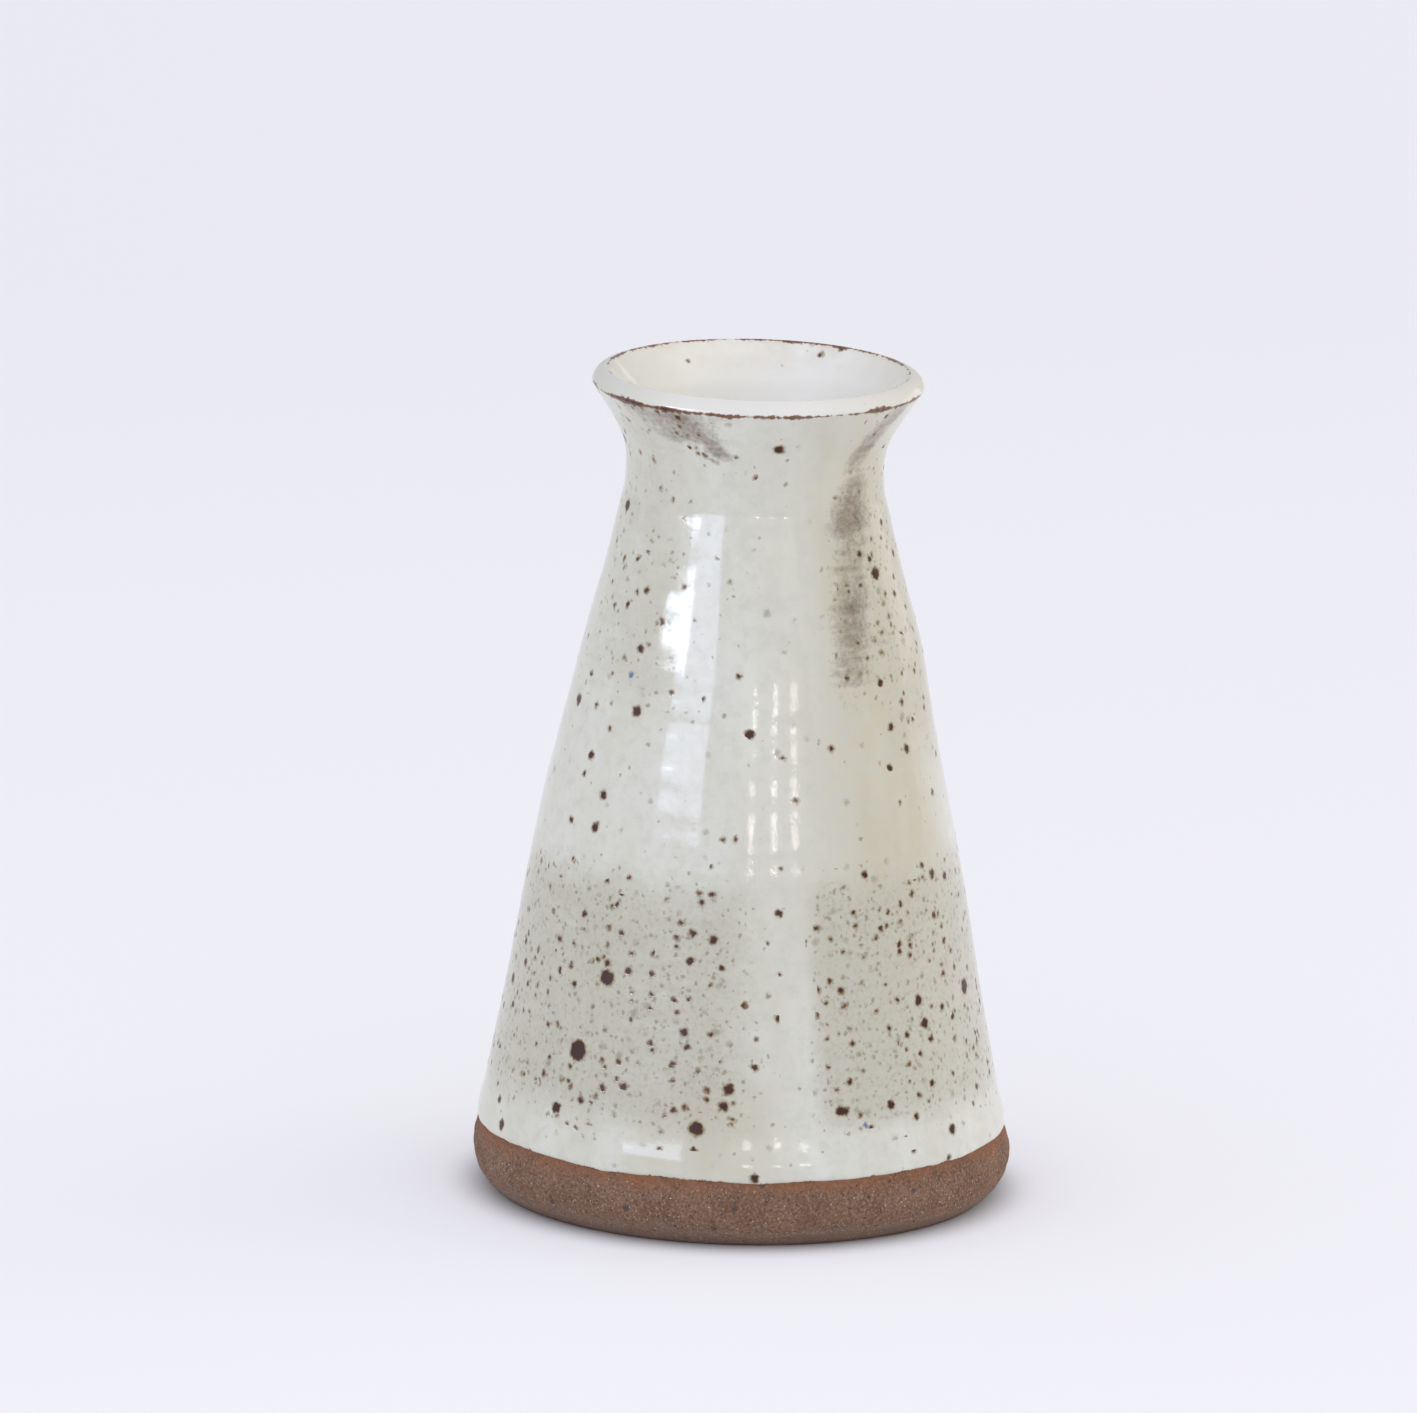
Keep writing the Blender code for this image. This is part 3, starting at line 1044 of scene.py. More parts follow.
    def spot_field(
        self, tree: bpy.types.NodeTree, place: Any, spots: tuple[Spot, ...], nearest: Any = 9.0
    ) -> Any:
        """Distance to the rim of the nearest placed spot, below zero inside it.

        Args:
            tree: The material's tree.
            place: The strayed place in millimetres.
            spots: The spots.
            nearest: Distance to any other speck.

        Returns:
            The distance in millimetres.
        """
        add = partial(add_node, tree)
        for spot in spots:
            radius = self.form.radius_at(spot.height, spot.inside)
            turn = math.radians(spot.angle)
            lean = self.hand.lean(np.array([spot.height]))[0]
            middle = (radius * math.sin(turn) + lean[0], -radius * math.cos(turn) + lean[1], spot.height)
            away = add("ShaderNodeVectorMath", {0: place, 1: middle}, "Value", operation="DISTANCE")
            rim = add("ShaderNodeMath", {0: away, 1: spot.width / 2}, operation="SUBTRACT")
            nearest = add("ShaderNodeMath", {0: nearest, 1: rim}, operation="MINIMUM")
        return nearest

    def specks(
        self, tree: bpy.types.NodeTree, place: Any, poured: dict[str, Any]
    ) -> tuple[list[Cover], Any]:
        """Iron specks, thickest in thin glaze: olive dust, and dark cores in rust and olive rims.

        Args:
            tree: The material's tree.
            place: The place in millimetres.
            poured: How the glaze was poured, by name.

        Returns:
            The covers, and the distance to the rim of the nearest dark speck.
        """
        add = partial(add_node, tree)
        ragged = add("ShaderNodeTexNoise", {"Vector": place, "Scale": 1.2, "Detail": 3.0}, "Color")
        ragged = add("ShaderNodeVectorMath", {0: ragged, 1: (0.5, 0.5, 0.5)}, operation="SUBTRACT")
        ragged = add(
            "ShaderNodeVectorMath", {0: ragged, 1: (1.0, 1.0, 1.0), 2: place}, operation="MULTIPLY_ADD"
        )
        iron_rich = add("ShaderNodeMath", {0: poured["specked"], 1: poured["thin"]}, operation="MAXIMUM")
        fields = []
        for spacing, largest, when_rich, always in (
            (0.95, 0.36, 0.5, self.speckle),
            (2.1, 0.6, 0.2, 4 * self.speckle),
            (1.75, 0.52, 0.5, self.speckle),
            (3.9, 0.8, 0.2, 0.2 * self.speckle),
        ):
            chance = add(
                "ShaderNodeMath", {0: iron_rich, 1: when_rich, 2: always}, operation="MULTIPLY_ADD"
            )
            fields.append(self.speck_field(tree, ragged, spacing, largest, chance))
        dust, haze, small, bold = fields
        near = add("ShaderNodeMath", {0: small, 1: bold}, operation="MINIMUM")
        near = self.spot_field(tree, ragged, self.spots, near)
        blue = self.spot_field(tree, ragged, self.blue_spots)
        rows = (
            (haze, 0.4, -0.4, 0.6, self.dust),
            (dust, 0.2, -0.15, 0.7, self.dust),
            (near, 0.5, 0.0, 0.75, self.olive),
            (near, 0.2, -0.1, 0.92, self.rust),
            (near, 0.02, -0.2, 1.0, self.iron),
            (blue, 0.2, -0.3, 0.8, self.cobalt),
        )
        return graded(tree, rows), near

    def iron_lines(self, tree: bpy.types.NodeTree, place: Any, along: Any, smudge: Any) -> list[Cover]:
        """Rust lines where the glaze breaks on the lip's two edges, with dark flecks in them.

        The outer line is broken and thickest by a smudge. The inner one shows on the far side only.

        Args:
            tree: The material's tree.
            place: The place in millimetres.
            along: Distance from the lip's outer edge.
            smudge: Where the glaze is thinnest.

        Returns:
            The covers.
        """
        add = partial(add_node, tree)
        coarse = add("ShaderNodeTexNoise", {"Vector": place, "Scale": 0.22, "Detail": 2.0})
        fine = add("ShaderNodeTexNoise", {"Vector": place, "Scale": 1.3, "Detail": 4.0, "Roughness": 0.7})
        loose = add("ShaderNodeMath", {0: coarse, 1: fine}, operation="ADD")
        behind = add("ShaderNodeSeparateXYZ", {0: place}, "Y")
        outer = add("ShaderNodeMath", {0: smudge, 1: 1.6, 2: 0.9}, operation="MULTIPLY_ADD")
        inner = add(
            "ShaderNodeMath", {0: behind, 1: 0.6 / self.form.lip_inner, 2: 0.35}, operation="MULTIPLY_ADD"
        )
        covers = []
        for middle, half_width, favour in (
            (0.18, 0.28, outer),
            (-self.form.lip_width - 0.05, 0.24, inner),
            (self.form.line, 0.2, 0.5),
        ):
            away = add("ShaderNodeMath", {0: along, 1: middle}, operation="SUBTRACT")
            away = add("ShaderNodeMath", {0: away}, operation="ABSOLUTE")
            away = add("ShaderNodeMath", {0: away, 1: half_width}, operation="DIVIDE")
            away = add("ShaderNodeMath", {0: away, 1: favour}, operation="SUBTRACT")
            away = add("ShaderNodeMath", {0: loose, 1: -6.0, 2: away}, operation="MULTIPLY_ADD")
            rows = ((away, -5.7, -6.5, 0.92, self.rust), (away, -7.2, -8.4, 0.92, self.iron))
            covers.extend(graded(tree, rows))
        return covers

    def relief(self, tree: bpy.types.NodeTree, place: Any, near: Any) -> Any:
        """Orange-peel ripple, faint rings, and a dimple at each iron speck, in millimetres.

        Args:
            tree: The material's tree.
            place: The place in millimetres.
            near: Distance to the rim of the nearest speck.

        Returns:
            The normal.
        """
        add = partial(add_node, tree)
        peel = add(
            "ShaderNodeTexNoise",
            {"Vector": place, "Scale": 1 / self.peel_width, "Detail": 4.0, "Roughness": 0.62},
        )
        level = add("ShaderNodeVectorMath", {0: place, 1: (0.05, 0.05, 1.0)}, operation="MULTIPLY")
        rings = add("ShaderNodeTexNoise", {"Vector": level, "Scale": 1 / self.ring_pitch, "Detail": 2.0})
        dimple = add(
            "ShaderNodeMapRange",
            {"Value": near, "From Min": 0.25, "From Max": -0.15, "To Max": -0.035},
            interpolation_type="SMOOTHSTEP",
        )
        height = add("ShaderNodeMath", {0: peel, 1: self.peel_depth, 2: dimple}, operation="MULTIPLY_ADD")
        height = add("ShaderNodeMath", {0: rings, 1: 0.004, 2: height}, operation="MULTIPLY_ADD")
        return add("ShaderNodeBump", {"Height": height, "Distance": MM, "Strength": 1.0}, "Normal")


@dataclass(frozen=True)
class ToastedStoneware:
    """Bare iron-bearing stoneware, thrown, trimmed and fired in reduction.

    It is matt and gritty: red-brown, with darker and paler grains, a rust flush by the glaze, bluish
    iron blotches, and a paler worn band low down where fingers and shelves have rubbed it.
    """

    name: str
    line: float
    dark: str = "#7A5B47"
    body: str = "#8C6D58"
    pale_grain: str = "#B59E8A"
    dark_grain: str = "#463028"
    flush: str = "#96603F"
    worn: str = "#98867A"
    blotch: str = "#4B4347"
    grit: float = 0.42
    roughness: float = 0.85

    def build(self) -> bpy.types.Material:
        """Make the material, as covers of colour laid one over the other."""
        material, tree, shader = new_material(self.name)
        add = partial(add_node, tree)
        shader["Specular IOR Level"].default_value = 0.3
        shader["Roughness"].default_value = self.roughness
        place = add("ShaderNodeTexCoord", out="Object")
        place = add("ShaderNodeVectorMath", {0: place, "Scale": 1 / MM}, operation="SCALE")
        grain = add(
            "ShaderNodeTexNoise",
            {"Vector": place, "Scale": 1 / self.grit, "Detail": 4.0, "Roughness": 0.75},
        )
        covers = self.covers(tree, place, grain)
        tree.links.new(lay_covers(tree, self.dark, covers), shader["Base Color"])
        tree.links.new(self.relief(tree, place, grain), shader["Normal"])
        return material

    def covers(self, tree: bpy.types.NodeTree, place: Any, grain: Any) -> list[Cover]:
        """Clouds, grains, the flush by the glaze, the worn band and the blotches.

        Args:
            tree: The material's tree.
            place: The place in millimetres.
            grain: The grit's noise.

        Returns:
            The covers.
        """
        add = partial(add_node, tree)
        height = add("ShaderNodeSeparateXYZ", {0: place}, "Z")
        clouds = add("ShaderNodeTexNoise", {"Vector": place, "Scale": 0.2, "Detail": 7.0, "Roughness": 0.7})
        strayed = add("ShaderNodeMath", {0: clouds, 1: 9.0, 2: height}, operation="MULTIPLY_ADD")
        cell = add(
            "ShaderNodeTexVoronoi", {"Vector": place, "Scale": 1 / 3.4, "Randomness": 1.0}, None
        ).outputs
        size = add("ShaderNodeSeparateColor", {0: cell["Color"]}, "Red")
        spread = add("ShaderNodeMath", {0: size, 1: -0.2, 2: cell["Distance"]}, operation="MULTIPLY_ADD")
        rows = (
            (clouds, 0.35, 0.65, 1.0, self.body),
            (grain, 0.52, 0.68, 0.7, self.pale_grain),
            (grain, 0.49, 0.33, 0.9, self.dark_grain),
            (strayed, self.line + 2.0, self.line + 5.2, 0.65, self.flush),
            (strayed, 8.6, 5.4, 0.4, self.worn),
            (spread, 0.04, -0.08, 0.8, self.blotch),
        )
        return graded(tree, rows)

    def relief(self, tree: bpy.types.NodeTree, place: Any, grain: Any) -> Any:
        """Grit and drag lines, with heights in millimetres."""
        add = partial(add_node, tree)
        level = add("ShaderNodeVectorMath", {0: place, 1: (0.08, 0.08, 1.6)}, operation="MULTIPLY")
        drag = add("ShaderNodeTexNoise", {"Vector": level, "Scale": 1.0, "Detail": 4.0})
        height = add("ShaderNodeMath", {0: grain, 1: 0.3}, operation="MULTIPLY")
        height = add("ShaderNodeMath", {0: drag, 1: 0.1, 2: height}, operation="MULTIPLY_ADD")
        return add("ShaderNodeBump", {"Height": height, "Distance": MM, "Strength": 0.9}, "Normal")


@dataclass(frozen=True)
class Mineral:
    """Grains that stand out of the bare clay: one even colour, with its own gloss."""

    name: str
    colour: str
    roughness: float

    def build(self) -> bpy.types.Material:
        """Make the material, a little uneven from grain to grain."""
        material, tree, shader = new_material(self.name)
        add = partial(add_node, tree)
        place = add("ShaderNodeTexCoord", out="Object")
        shade = add("ShaderNodeTexNoise", {"Vector": place, "Scale": 1 / (0.9 * MM)})
        shade = add("ShaderNodeMapRange", {"Value": shade, "From Min": 0.3, "From Max": 0.7})
        light = linear(self.colour)
        deep = (*(0.45 * c for c in light[:3]), 1.0)
        colour = add("ShaderNodeMix", {0: shade, 6: deep, 7: light}, 2, data_type="RGBA")
        tree.links.new(colour, shader["Base Color"])
        shader["Roughness"].default_value = self.roughness
        return material


# ------------------------------------------------------------------------------------------------
# The pieces
# ------------------------------------------------------------------------------------------------


def show(piece: bpy.types.Object, slot: str, *nodes: str) -> bpy.types.Object:
    """Put a finished piece on the vase.

    Args:
        piece: The piece, at the origin.
        slot: Material slot of the record; not used.
        *nodes: Solids that it stands for.

    Returns:
        The piece.
    """
    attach(piece, "root")
    if nodes:
        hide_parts(*nodes)
    LOG.info("%s: %d faces", piece.name, len(piece.data.polygons))
    return piece


@dataclass
class GlazeCoat:
    """One skin of glaze over a stretch of the form."""

    form: VaseForm
    name: str
    node: str
    slot: str
    start: float
    end: float
    rows: np.ndarray
    ring_from: float = 1e9
    thickness: float = SKIN
    rolled_end: float = 0.0
    bead: float = 0.2
    bead_middle: float = 2.3
    bead_spread: float = 2.1
    on_axis: bool = False

    def outline(self) -> Outline:
        """The skin's face and, in wider steps, its underside."""
        face = self.rows
        under = np.linspace(self.end, self.start, max(3, len(face) // 8))
        along = np.concatenate((face, under))
        point, normal, tangent = self.form.at(along)
        depth = np.concatenate((self.roll(face), np.full(len(under), self.thickness)))
        point = point - normal * depth[:, None]
        ringed = ramp(np.abs(along), self.ring_from, self.ring_from + 6.0)
        edge = ramp(along, self.form.line - 7.0, self.form.line) if self.rolled_end else 0 * along
        if self.on_axis:
            point[[0, -1], 0] = 0.0
            ringed = ringed * ramp(along, self.start, self.start + 12.0)
        else:
            point = np.vstack((point, point[:1]))
            normal = np.vstack((normal, normal[:1]))
            tangent = np.vstack((tangent, tangent[:1]))
            along, ringed, edge = (np.append(values, values[0]) for values in (along, ringed, edge))
        return Outline(point, along, normal * ringed[:, None], tangent * edge[:, None])

    def roll(self, along: np.ndarray) -> np.ndarray:
        """How far the face sinks at each distance: it bulges, then rolls under at the lower edge."""
        if not self.rolled_end:
            return np.zeros_like(along)
        left = np.maximum(self.end - along, 0.0)
        bead = self.bead * np.exp(-(((left - self.bead_middle) / self.bead_spread) ** 2))
        share = np.clip(1 - left / self.rolled_end, 0.0, 1.0)
        return self.thickness * (1 - np.sqrt(1 - share**2)) - bead * (left > 0)


@dataclass
class Glazing:
    """The four skins of glaze, which meet edge to edge."""

    form: VaseForm
    hand: HandOfTheThrower
    turn_in: float = 1.2
    edge_reach: float = 0.7
    roll_under: float = 0.9

    def coats(self) -> list[GlazeCoat]:
        """The skins, from the inside out."""
        form = self.form
        mouth = -form.lip_width - self.turn_in
        edge = self.edge_reach
        liner_rows = np.concatenate(
            (
                form.start + np.array([0.0, 1.6, 3.0, 4.5]),
                np.arange(form.start + 6.0, mouth - 8.0, 1.1),
                np.linspace(mouth - 8.0, mouth, 26),
            )
        )
        outer_rows = np.concatenate(
            (
                np.linspace(edge, 6.0, 22)[:-1],
                np.arange(6.0, form.line - 4.0, 0.62),
                np.linspace(form.line - 4.0, form.line - self.roll_under, 12)[:-1],
                form.line - self.roll_under * np.cos(np.linspace(0, math.pi / 2, 9)),
            )
        )
        lip_rows = np.linspace(mouth, -edge, 36)
        edge_rows = np.linspace(-edge, edge, 15)
        inside = GlazeCoat(
            form, "glaze_inside", "liner_glaze", "liner_glaze", form.start, mouth, liner_rows,
            ring_from=form.lip_width + self.turn_in, on_axis=True,
        )
        on_lip = GlazeCoat(form, "glaze_on_lip", "lip_glaze", "white_glaze", mouth, -edge, lip_rows)
        on_edge = GlazeCoat(form, "glaze_on_edge", "iron_edge", "iron_glaze", -edge, edge, edge_rows)
        outside = GlazeCoat(
            form, "glaze_outside", "outer_glaze", "pale_glaze", edge, form.line, outer_rows,
            ring_from=2.0, rolled_end=self.roll_under,
        )
        return [inside, on_lip, on_edge, outside]

    def build(self, wheel: Wheel) -> list[bpy.types.Object]:
        """Turn, finish and place the four skins.

        Args:
            wheel: What turns them.

        Returns:
            The four pieces.
        """
        outside = ThrowingMarks(ring_depth=0.22, ring_pitch=11.0, spiral_depth=0.01, waver=1.7, seed=4)
        inside = ThrowingMarks(ring_depth=0.6, ring_pitch=11.0, spiral_depth=0.04, seed=9)
        pieces = []
        for coat in self.coats():
            marks = inside if coat.on_axis else outside
            finish = self.finish(coat).build()
            piece = wheel.turn(coat.name, coat.outline(), marks, finish)
            self.pour(piece)
            pieces.append(show(piece, coat.slot, coat.node))
        return pieces

    def finish(self, coat: GlazeCoat) -> SpeckledGlaze:
        """The glaze of a coat, with the spots that can show on it."""
        form, hand = self.form, self.hand
        if coat.node == "liner_glaze":
            return SpeckledGlaze("cream_liner_glaze", form, hand, spots=MOUTH_SPOTS, speckle=0.004)
        if coat.node == "lip_glaze":
            return SpeckledGlaze("thick_white_glaze", form, hand, spots=MOUTH_SPOTS, speckle=0.004)
        if coat.node == "iron_edge":
            return SpeckledGlaze("broken_iron_glaze", form, hand)
        return SpeckledGlaze("speckled_stoneware_glaze", form, hand, IRON_SPOTS, COBALT_SPOTS)

    def pour(self, piece: bpy.types.Object) -> None:
        """Mark on a skin where each pour of glaze lies, for its finish to read."""
        mesh = piece.data
        count = len(mesh.vertices)
        place = np.empty(count * 3)
        mesh.vertices.foreach_get("co", place)
        place = place.reshape(-1, 3) / MM
        given = {}
        for name in ("along", "level"):
            given[name] = np.empty(count, dtype=np.float32)
            mesh.attributes[name].data.foreach_get("value", given[name])
        height = given["level"] / MM
        lean = self.hand.lean(height)
        angle = np.degrees(np.arctan2(place[:, 0] - lean[:, 0], lean[:, 1] - place[:, 1]))
        outside = ramp(given["along"] / MM, -0.4, 0.2)
        for name, patches in POURS.items():
            cover = np.max([patch.cover(angle, height) for patch in patches], axis=0) * outside
            mesh.attributes.new(name, "FLOAT", "POINT").data.foreach_set("value", cover.astype(np.float32))


@dataclass
class ClayBody:
    """The thrown pot under the glaze, bare at the foot."""

    form: VaseForm
    bed: float = SKIN + CLEARANCE
    glaze: float = SKIN
    foot_radius: float = 37.4
    widest_height: float = 6.3
    ring_inner: float = 30.4
    recess_radius: float = 28.6
    recess_depth: float = 1.6
    trim_pitch: float = 2.6
    trim_depth: float = 0.09

    def outline(self) -> Outline:
        """The bed under the glaze, then the bare foot, its ring and its trimmed recess."""
        form = self.form
        meet = form.line - 5.0
        under = np.concatenate(
            (
                np.arange(form.start, -8.0, 4.0),
                np.linspace(-8.0, 4.0, 40),
                np.arange(6.0, meet, 4.0),
                np.linspace(meet, form.line - 1.0, 14),
            )
        )
        point, normal, _ = form.at(under)
        depth = self.bed + (self.glaze - self.bed) * ramp(under, meet, form.line - 3.0)
        point = point - normal * depth[:, None]
        point[0, 0] = 0.0
        foot = self.foot()
        points = np.vstack((point, foot))
        along = np.concatenate((under, under[-1] + distances(np.vstack((point[-1:], foot)))[1:]))
        outline = Outline(points, along, np.zeros_like(points), np.zeros_like(points))
        bare = len(point)
        tangent = np.gradient(foot, axis=0)
        tangent /= np.linalg.norm(tangent, axis=1)[:, None]
        outward = np.column_stack((-tangent[:, 1], tangent[:, 0]))
        marked = ramp(foot[:, 0], 2.0, 6.0) * np.where(foot[:, 1] < 0.02, 0.0, 1.0)
        outline.push[bare:] = outward * marked[:, None]
        return outline

    def foot(self) -> np.ndarray:
        """Closely spaced points from under the glaze's edge round the foot to the middle of the recess."""
        form = self.form
        flare = spline_through(
            [
                (self.widest_height, form.widest),
                (7.6, form.widest - 0.12),
                (9.2, form.widest - 0.62),
                (form.glaze_line + 0.9, form.line_radius - self.glaze - 0.17),
            ]
        )
        heights = np.linspace(form.glaze_line + 0.9, self.widest_height, 16)[1:]
        upper = np.column_stack((flare(heights), heights))
        inset = form.widest - self.foot_radius
        rounding = (inset**2 + self.widest_height**2) / (2 * inset)
        turn = np.linspace(0.0, math.asin(self.widest_height / rounding), 26)[1:]
        centre = form.widest - rounding
        under = np.column_stack(
            (centre + rounding * np.cos(turn), self.widest_height - rounding * np.sin(turn))
        )
        rests = np.array([(36.6, 0.0), (34.0, 0.0), (31.4, 0.0), (self.ring_inner, 0.0)])
        wall = np.array([(self.ring_inner - 0.25, 0.12), (29.4, 1.0), (self.recess_radius + 0.2, 1.5)])
        radii = np.linspace(self.recess_radius, 1.5, 100)
        fade = ramp(radii, self.recess_radius, 27.0)
        trimmed = self.trim_depth * np.sin(math.tau * radii / self.trim_pitch) * fade
        recess = np.column_stack((radii, self.recess_depth + trimmed))
        return np.vstack((upper, under, rests, wall, recess, [0.0, self.recess_depth]))

    def build(self, wheel: Wheel) -> bpy.types.Object:
        """Turn, finish and place the body.

        Args:
            wheel: What turns it.

        Returns:
            The piece.
        """
        finish = ToastedStoneware("toasted_stoneware", self.form.glaze_line).build()
        marks = ThrowingMarks(ring_depth=0.35, ring_pitch=3.5, spiral_depth=0.03, spiral_pitch=1.7, seed=2)
        piece = wheel.turn("clay_pot", self.outline(), marks, finish)
        return show(piece, "stoneware", "clay_body")


class Grain(Enum):
    """Kinds of grain in the bare clay: name, colour, roughness, count per square millimetre, size in mm."""

    FELDSPAR = ("feldspar_grit", "#DDD5CB", 0.45, 0.22, 0.12)
    IRONSTONE = ("ironstone_grit", "#3A2A26", 0.6, 0.09, 0.17)


class GritScatter:
    """Sets grains into the bare clay of the foot with a Geometry Nodes tree."""

    LOWEST = 0.6
    """Height of the lowest grain in millimetres."""
    MARGIN = 0.8
    """Bare millimetres left between the grains and the glaze."""
    FACING = 10.0
    """Least reach in millimetres of a place along its own normal, which leaves out the inside."""
    SIZES = (
        ("Density", "NodeSocketFloat"),
        ("Grain Size", "NodeSocketFloat"),
        ("Lowest", "NodeSocketFloat"),
        ("Highest", "NodeSocketFloat"),
        ("Seed", "NodeSocketInt"),
        ("Material", "NodeSocketMaterial"),
    )

    def __init__(self) -> None:
        """Build the tree: points on the foot, a flattened grain on each, made real."""
        self.tree, given = new_group("grit_in_bare_clay", self.SIZES)
        tree = self.tree
        add = partial(add_node, tree)
        place = add("GeometryNodeInputPosition")
        height = add("ShaderNodeSeparateXYZ", {0: place}, "Z")
        above = add("ShaderNodeMath", {0: height, 1: given["Lowest"]}, operation="GREATER_THAN")
        below = add("ShaderNodeMath", {0: height, 1: given["Highest"]}, operation="LESS_THAN")
        facing = add("GeometryNodeInputNormal")
        outward = add("ShaderNodeVectorMath", {0: facing, 1: place}, "Value", operation="DOT_PRODUCT")
        outward = add("ShaderNodeMath", {0: outward, 1: self.FACING * MM}, operation="GREATER_THAN")
        bare = add("ShaderNodeMath", {0: above, 1: below}, operation="MULTIPLY")
        bare = add("ShaderNodeMath", {0: bare, 1: outward}, operation="MULTIPLY")
        scatter = add(
            "GeometryNodeDistributePointsOnFaces",
            {
                "Mesh": given["Geometry"],
                "Selection": bare,
                "Density": given["Density"],
                "Seed": given["Seed"],
            },
            None,
        ).outputs
        grain = add("GeometryNodeMeshIcoSphere", {"Radius": 1.0, "Subdivisions": 1}, "Mesh")
        wide = add(
            "FunctionNodeRandomValue",
            {0: (0.4, 0.4, 0.15), 1: (1.3, 1.3, 0.3), "Seed": given["Seed"]},
            0,
            data_type="FLOAT_VECTOR",
        )
        size = add("ShaderNodeVectorMath", {0: wide, "Scale": given["Grain Size"]}, operation="SCALE")
        placed = add(
            "GeometryNodeInstanceOnPoints",
            {
                "Points": scatter["Points"],
                "Instance": grain,
                "Rotation": scatter["Rotation"],
                "Scale": size,
            },
        )
        real = add("GeometryNodeRealizeInstances", {"Geometry": placed})
        real = add("GeometryNodeSetMaterial", {"Geometry": real, "Material": given["Material"]})
        add("NodeGroupOutput", {"Geometry": real}, None)

    def build(self, clay: bpy.types.Object, glaze_line: float) -> list[bpy.types.Object]:
        """Scatter each kind of grain over the bare clay.

        Args:
            clay: The clay body.
            glaze_line: Height of the glaze's edge in millimetres.

        Returns:
            One piece for each kind of grain.
        """
        pieces = []
        for seed, grain in enumerate(Grain):
            name, colour, roughness, density, size = grain.value
            source = bpy.data.objects.new(name + "_source", clay.data)
            bpy.context.scene.collection.objects.link(source)
            modifier = source.modifiers.new("grit", "NODES")
            modifier.node_group = self.tree
            values = {
                "Density": density / MM**2,
                "Grain Size": size * MM,
                "Lowest": self.LOWEST * MM,
                "Highest": (glaze_line - self.MARGIN) * MM,
                "Seed": seed + 3,
                "Material": Mineral(name, colour, roughness).build(),
            }
            pieces.append(show(plain_piece(name, source, modifier, values), "stoneware"))
        return pieces


# ------------------------------------------------------------------------------------------------
# The studio
# ------------------------------------------------------------------------------------------------


@dataclass(frozen=True)
class Pane:
    """A window or a lamp, by its direction from the vase in degrees, its size and its light."""

    name: str
    azimuth: float
    elevation: float
    width: float
    height: float
    radiance: float
    colour: str
    fills: bool = False
    distance: float = 3.0


PANES = (
    Pane("left_window", -57.5, 18.5, 21.0, 11.0, 19.0, "#E0E9FF"),
    Pane("left_curtain", -39.5, 16.9, 27.0, 14.2, 6.5, "#D6E0FF"),
    Pane("left_blind", -64.0, 19.0, 21.0, 10.0, 3.0, "#D6E0FF"),
    Pane("far_window_near", 3.0, 10.2, 2.6, 1.9, 18.0, "#FFF9F0"),
    Pane("far_window_mid", 16.0, 10.2, 2.6, 1.9, 18.0, "#FFF9F0"),
    Pane("far_window_far", 28.0, 10.2, 3.8, 1.9, 13.0, "#FFF9F0"),
    Pane("far_wall", 15.0, 13.0, 40.0, 9.0, 0.8, "#FFF9F0"),
    Pane("right_wall", 134.0, 3.0, 32.0, 26.0, 0.8, "#FBF4E8"),
    Pane("right_lamp", 108.0, 12.0, 58.0, 46.0, 1.32, "#FFF6EA", fills=True),
)


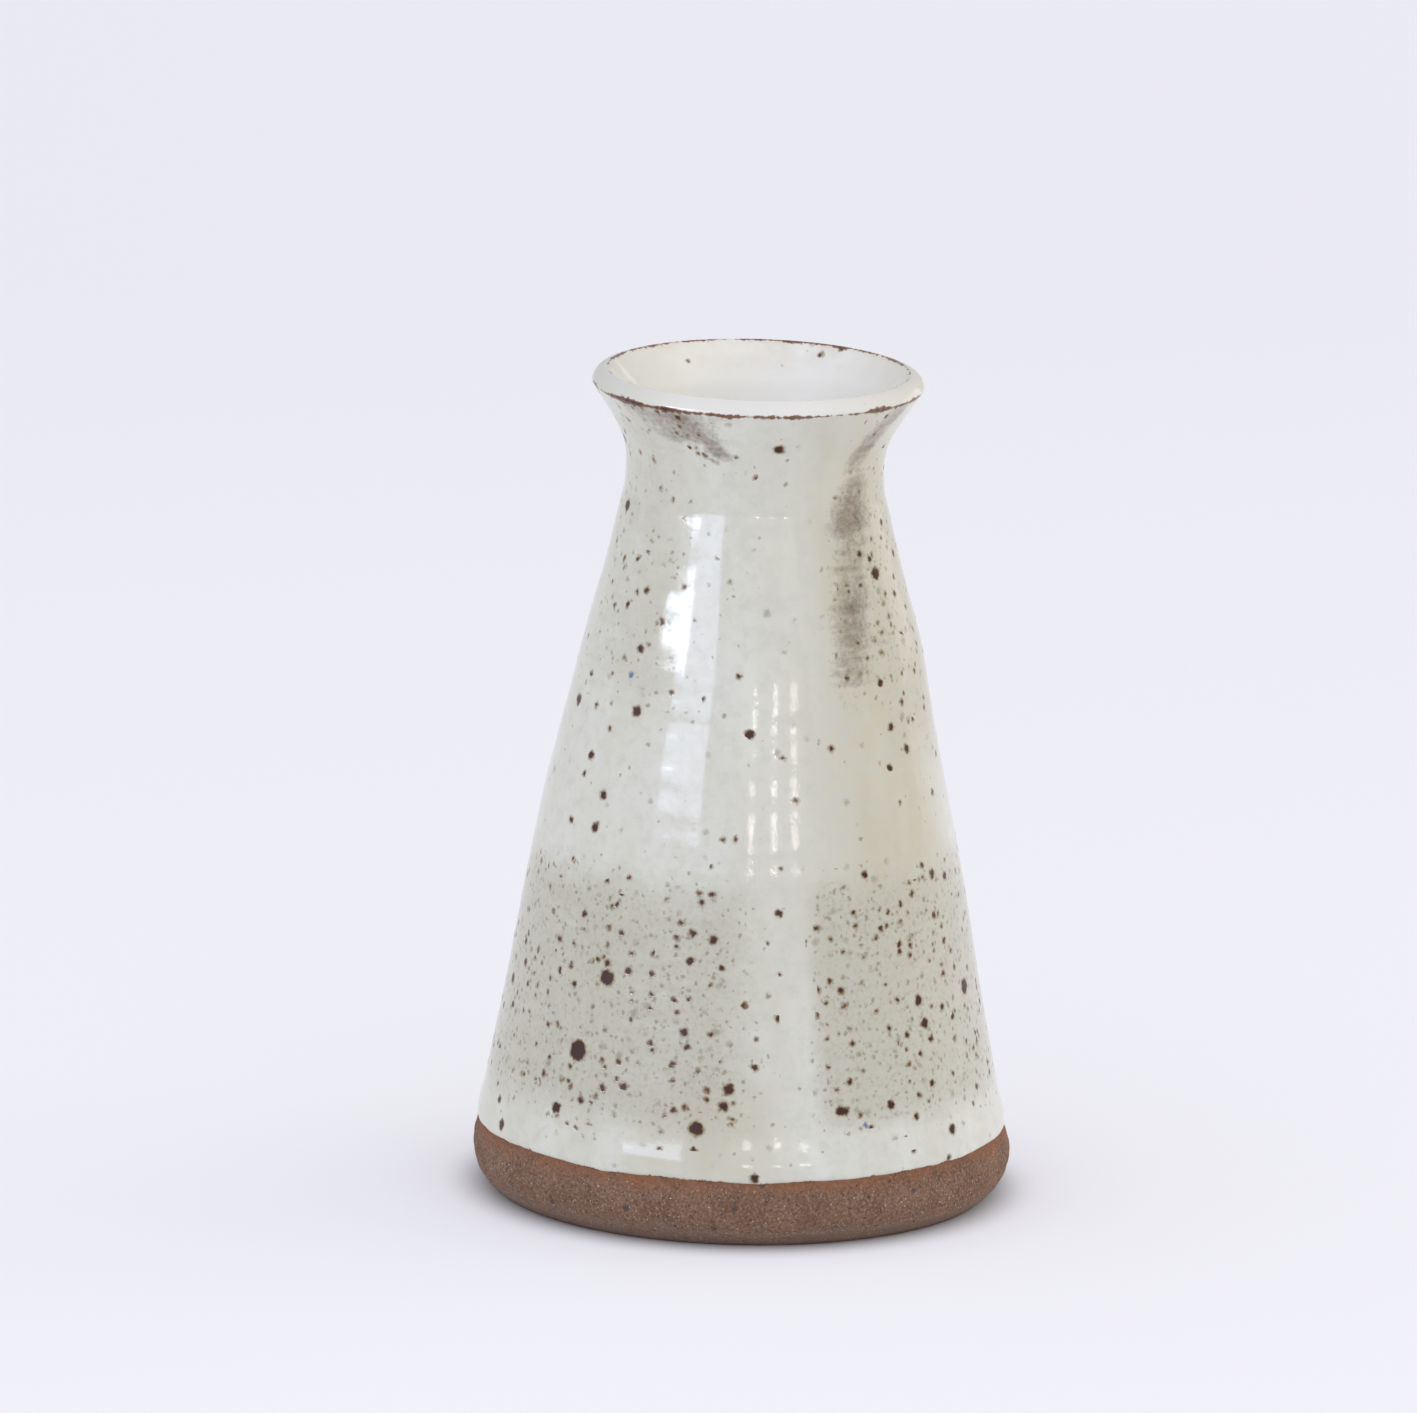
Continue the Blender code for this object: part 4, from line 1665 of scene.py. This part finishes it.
@dataclass
class Studio:
    """Pale paper, soft light and the camera."""

    distance: float = 2.1
    elevation: float = math.radians(12.7)
    roll: float = math.radians(1.23)
    target: tuple[float, float, float] = (-6.18 * MM, 0.0, 74.2 * MM)
    lens: float = 352.5
    sensor: float = 36.0
    sky: str = "#E9E9F0"
    sky_low: float = 0.62
    sky_high: float = 1.2
    brightest: tuple[float, float, float] = (-0.3, -0.75, 0.59)
    paper: str = "#CFCFD1"
    # How strongly the paper glows, as painted light, at its near and its far end.
    glow_near: float = 0.45
    glow_far: float = 0.31
    near_end: float = -0.6
    far_end: float = 0.7
    # The paper's glow fades out within these radii, as a painted shadow round the foot.
    shadow_inner: float = 36.0 * MM
    shadow_outer: float = 47.0 * MM

    def build(self) -> None:
        """Make the floor, the lights and the camera."""
        self.lay_paper()
        self.light()
        self.place_camera()
        bpy.context.scene.view_settings.view_transform = "Standard"

    def lay_paper(self) -> None:
        """A wide sheet of matt paper under the vase. It glows a little as painted light, brighter towards
        the front, so that no shadow is deep; round the foot the glow fades out as a painted shadow.
        """
        bpy.ops.mesh.primitive_plane_add(size=12.0, location=(0.0, 0.0, -0.05 * MM))
        floor = bpy.context.active_object
        floor.name = "paper"
        material, tree, shader = new_material("matt_paper")
        add = partial(add_node, tree)
        shader["Base Color"].default_value = linear(self.paper)
        shader["Roughness"].default_value = 1.0
        shader["Specular IOR Level"].default_value = 0.0
        shader["Emission Color"].default_value = linear(self.sky)
        place = add("ShaderNodeTexCoord", out="Object")
        # Painted shadow round the foot: the glow is cut off from the middle out to the foot's edge and
        # fades in beyond it.
        painted_foot_shadow = add("ShaderNodeVectorMath", {0: place}, "Value", operation="LENGTH")
        painted_foot_shadow = add(
            "ShaderNodeMapRange",
            {"Value": painted_foot_shadow, "From Min": self.shadow_inner, "From Max": self.shadow_outer},
            interpolation_type="SMOOTHERSTEP",
        )
        # Painted light: the glow is stronger towards the front than at the back.
        away = add("ShaderNodeSeparateXYZ", {0: place}, "Y")
        ends = {"From Min": self.near_end, "From Max": self.far_end}
        glows = {"To Min": self.glow_near, "To Max": self.glow_far}
        glow = add("ShaderNodeMapRange", {"Value": away, **ends, **glows})
        glow = add("ShaderNodeMath", {0: glow, 1: painted_foot_shadow}, operation="MULTIPLY")
        tree.links.new(glow, shader["Emission Strength"])
        floor.data.materials.append(material)

    def light(self) -> None:
        """Light from all round, softly brighter from the front left, with panes that the glaze mirrors."""
        world = bpy.data.worlds.new("soft_room")
        bpy.context.scene.world = world
        world.use_nodes = True
        tree = world.node_tree
        add = partial(add_node, tree)
        background = tree.nodes["Background"]
        background.inputs["Color"].default_value = linear(self.sky)
        heading = add("ShaderNodeTexCoord", out="Generated")
        facing = add(
            "ShaderNodeVectorMath", {0: heading, 1: self.brightest}, "Value", operation="DOT_PRODUCT"
        )
        strength = add(
            "ShaderNodeMapRange",
            {"Value": facing, "From Min": -1.0, "To Min": self.sky_low, "To Max": self.sky_high},
        )
        tree.links.new(strength, background.inputs["Strength"])
        middle = Vector((0.0, 0.0, 60.0 * MM))
        for pane in PANES:
            lamp = bpy.data.lights.new(pane.name, "AREA")
            lamp.shape = "RECTANGLE"
            lamp.size = pane.distance * 2 * math.tan(math.radians(pane.width / 2))
            lamp.size_y = pane.distance * 2 * math.tan(math.radians(pane.height / 2))
            lamp.color = linear(pane.colour)[:3]
            lamp.energy = pane.radiance * math.pi * lamp.size * lamp.size_y
            azimuth, elevation = math.radians(pane.azimuth), math.radians(pane.elevation)
            direction = Vector(
                (
                    math.sin(azimuth) * math.cos(elevation),
                    -math.cos(azimuth) * math.cos(elevation),
                    math.sin(elevation),
                )
            )
            holder = bpy.data.objects.new(pane.name, lamp)
            holder.visible_diffuse = pane.fills
            holder.visible_glossy = not pane.fills
            holder.location = middle + direction * pane.distance
            holder.rotation_euler = direction.to_track_quat("Z", "Y").to_euler()
            bpy.context.scene.collection.objects.link(holder)

    def place_camera(self) -> None:
        """A long lens, a little above the lip and turned by a degree."""
        data = bpy.data.cameras.new("camera")
        data.lens = self.lens
        data.sensor_width = self.sensor
        data.clip_start = 0.05
        data.clip_end = 100.0
        back = Vector((0.0, -math.cos(self.elevation), math.sin(self.elevation)))
        right = Vector((1.0, 0.0, 0.0))
        up = back.cross(right)
        across = math.cos(self.roll) * right + math.sin(self.roll) * up
        upward = -math.sin(self.roll) * right + math.cos(self.roll) * up
        turn = Matrix((across, upward, back)).transposed().to_4x4()
        camera = bpy.data.objects.new("camera", data)
        camera.matrix_world = Matrix.Translation(Vector(self.target) + self.distance * back) @ turn
        bpy.context.scene.collection.objects.link(camera)
        bpy.context.scene.camera = camera


def main() -> None:
    """Build the studio and then the vase, from the clay outwards."""
    logging.basicConfig(level=logging.INFO, format="%(name)s %(message)s")
    Studio().build()
    form = VaseForm.from_frame()
    hand = HandOfTheThrower()
    wheel = Wheel(hand)
    clay = ClayBody(form).build(wheel)
    GritScatter().build(clay, form.glaze_line)
    Glazing(form, hand).build(wheel)


if __name__ == "__main__":
    main()
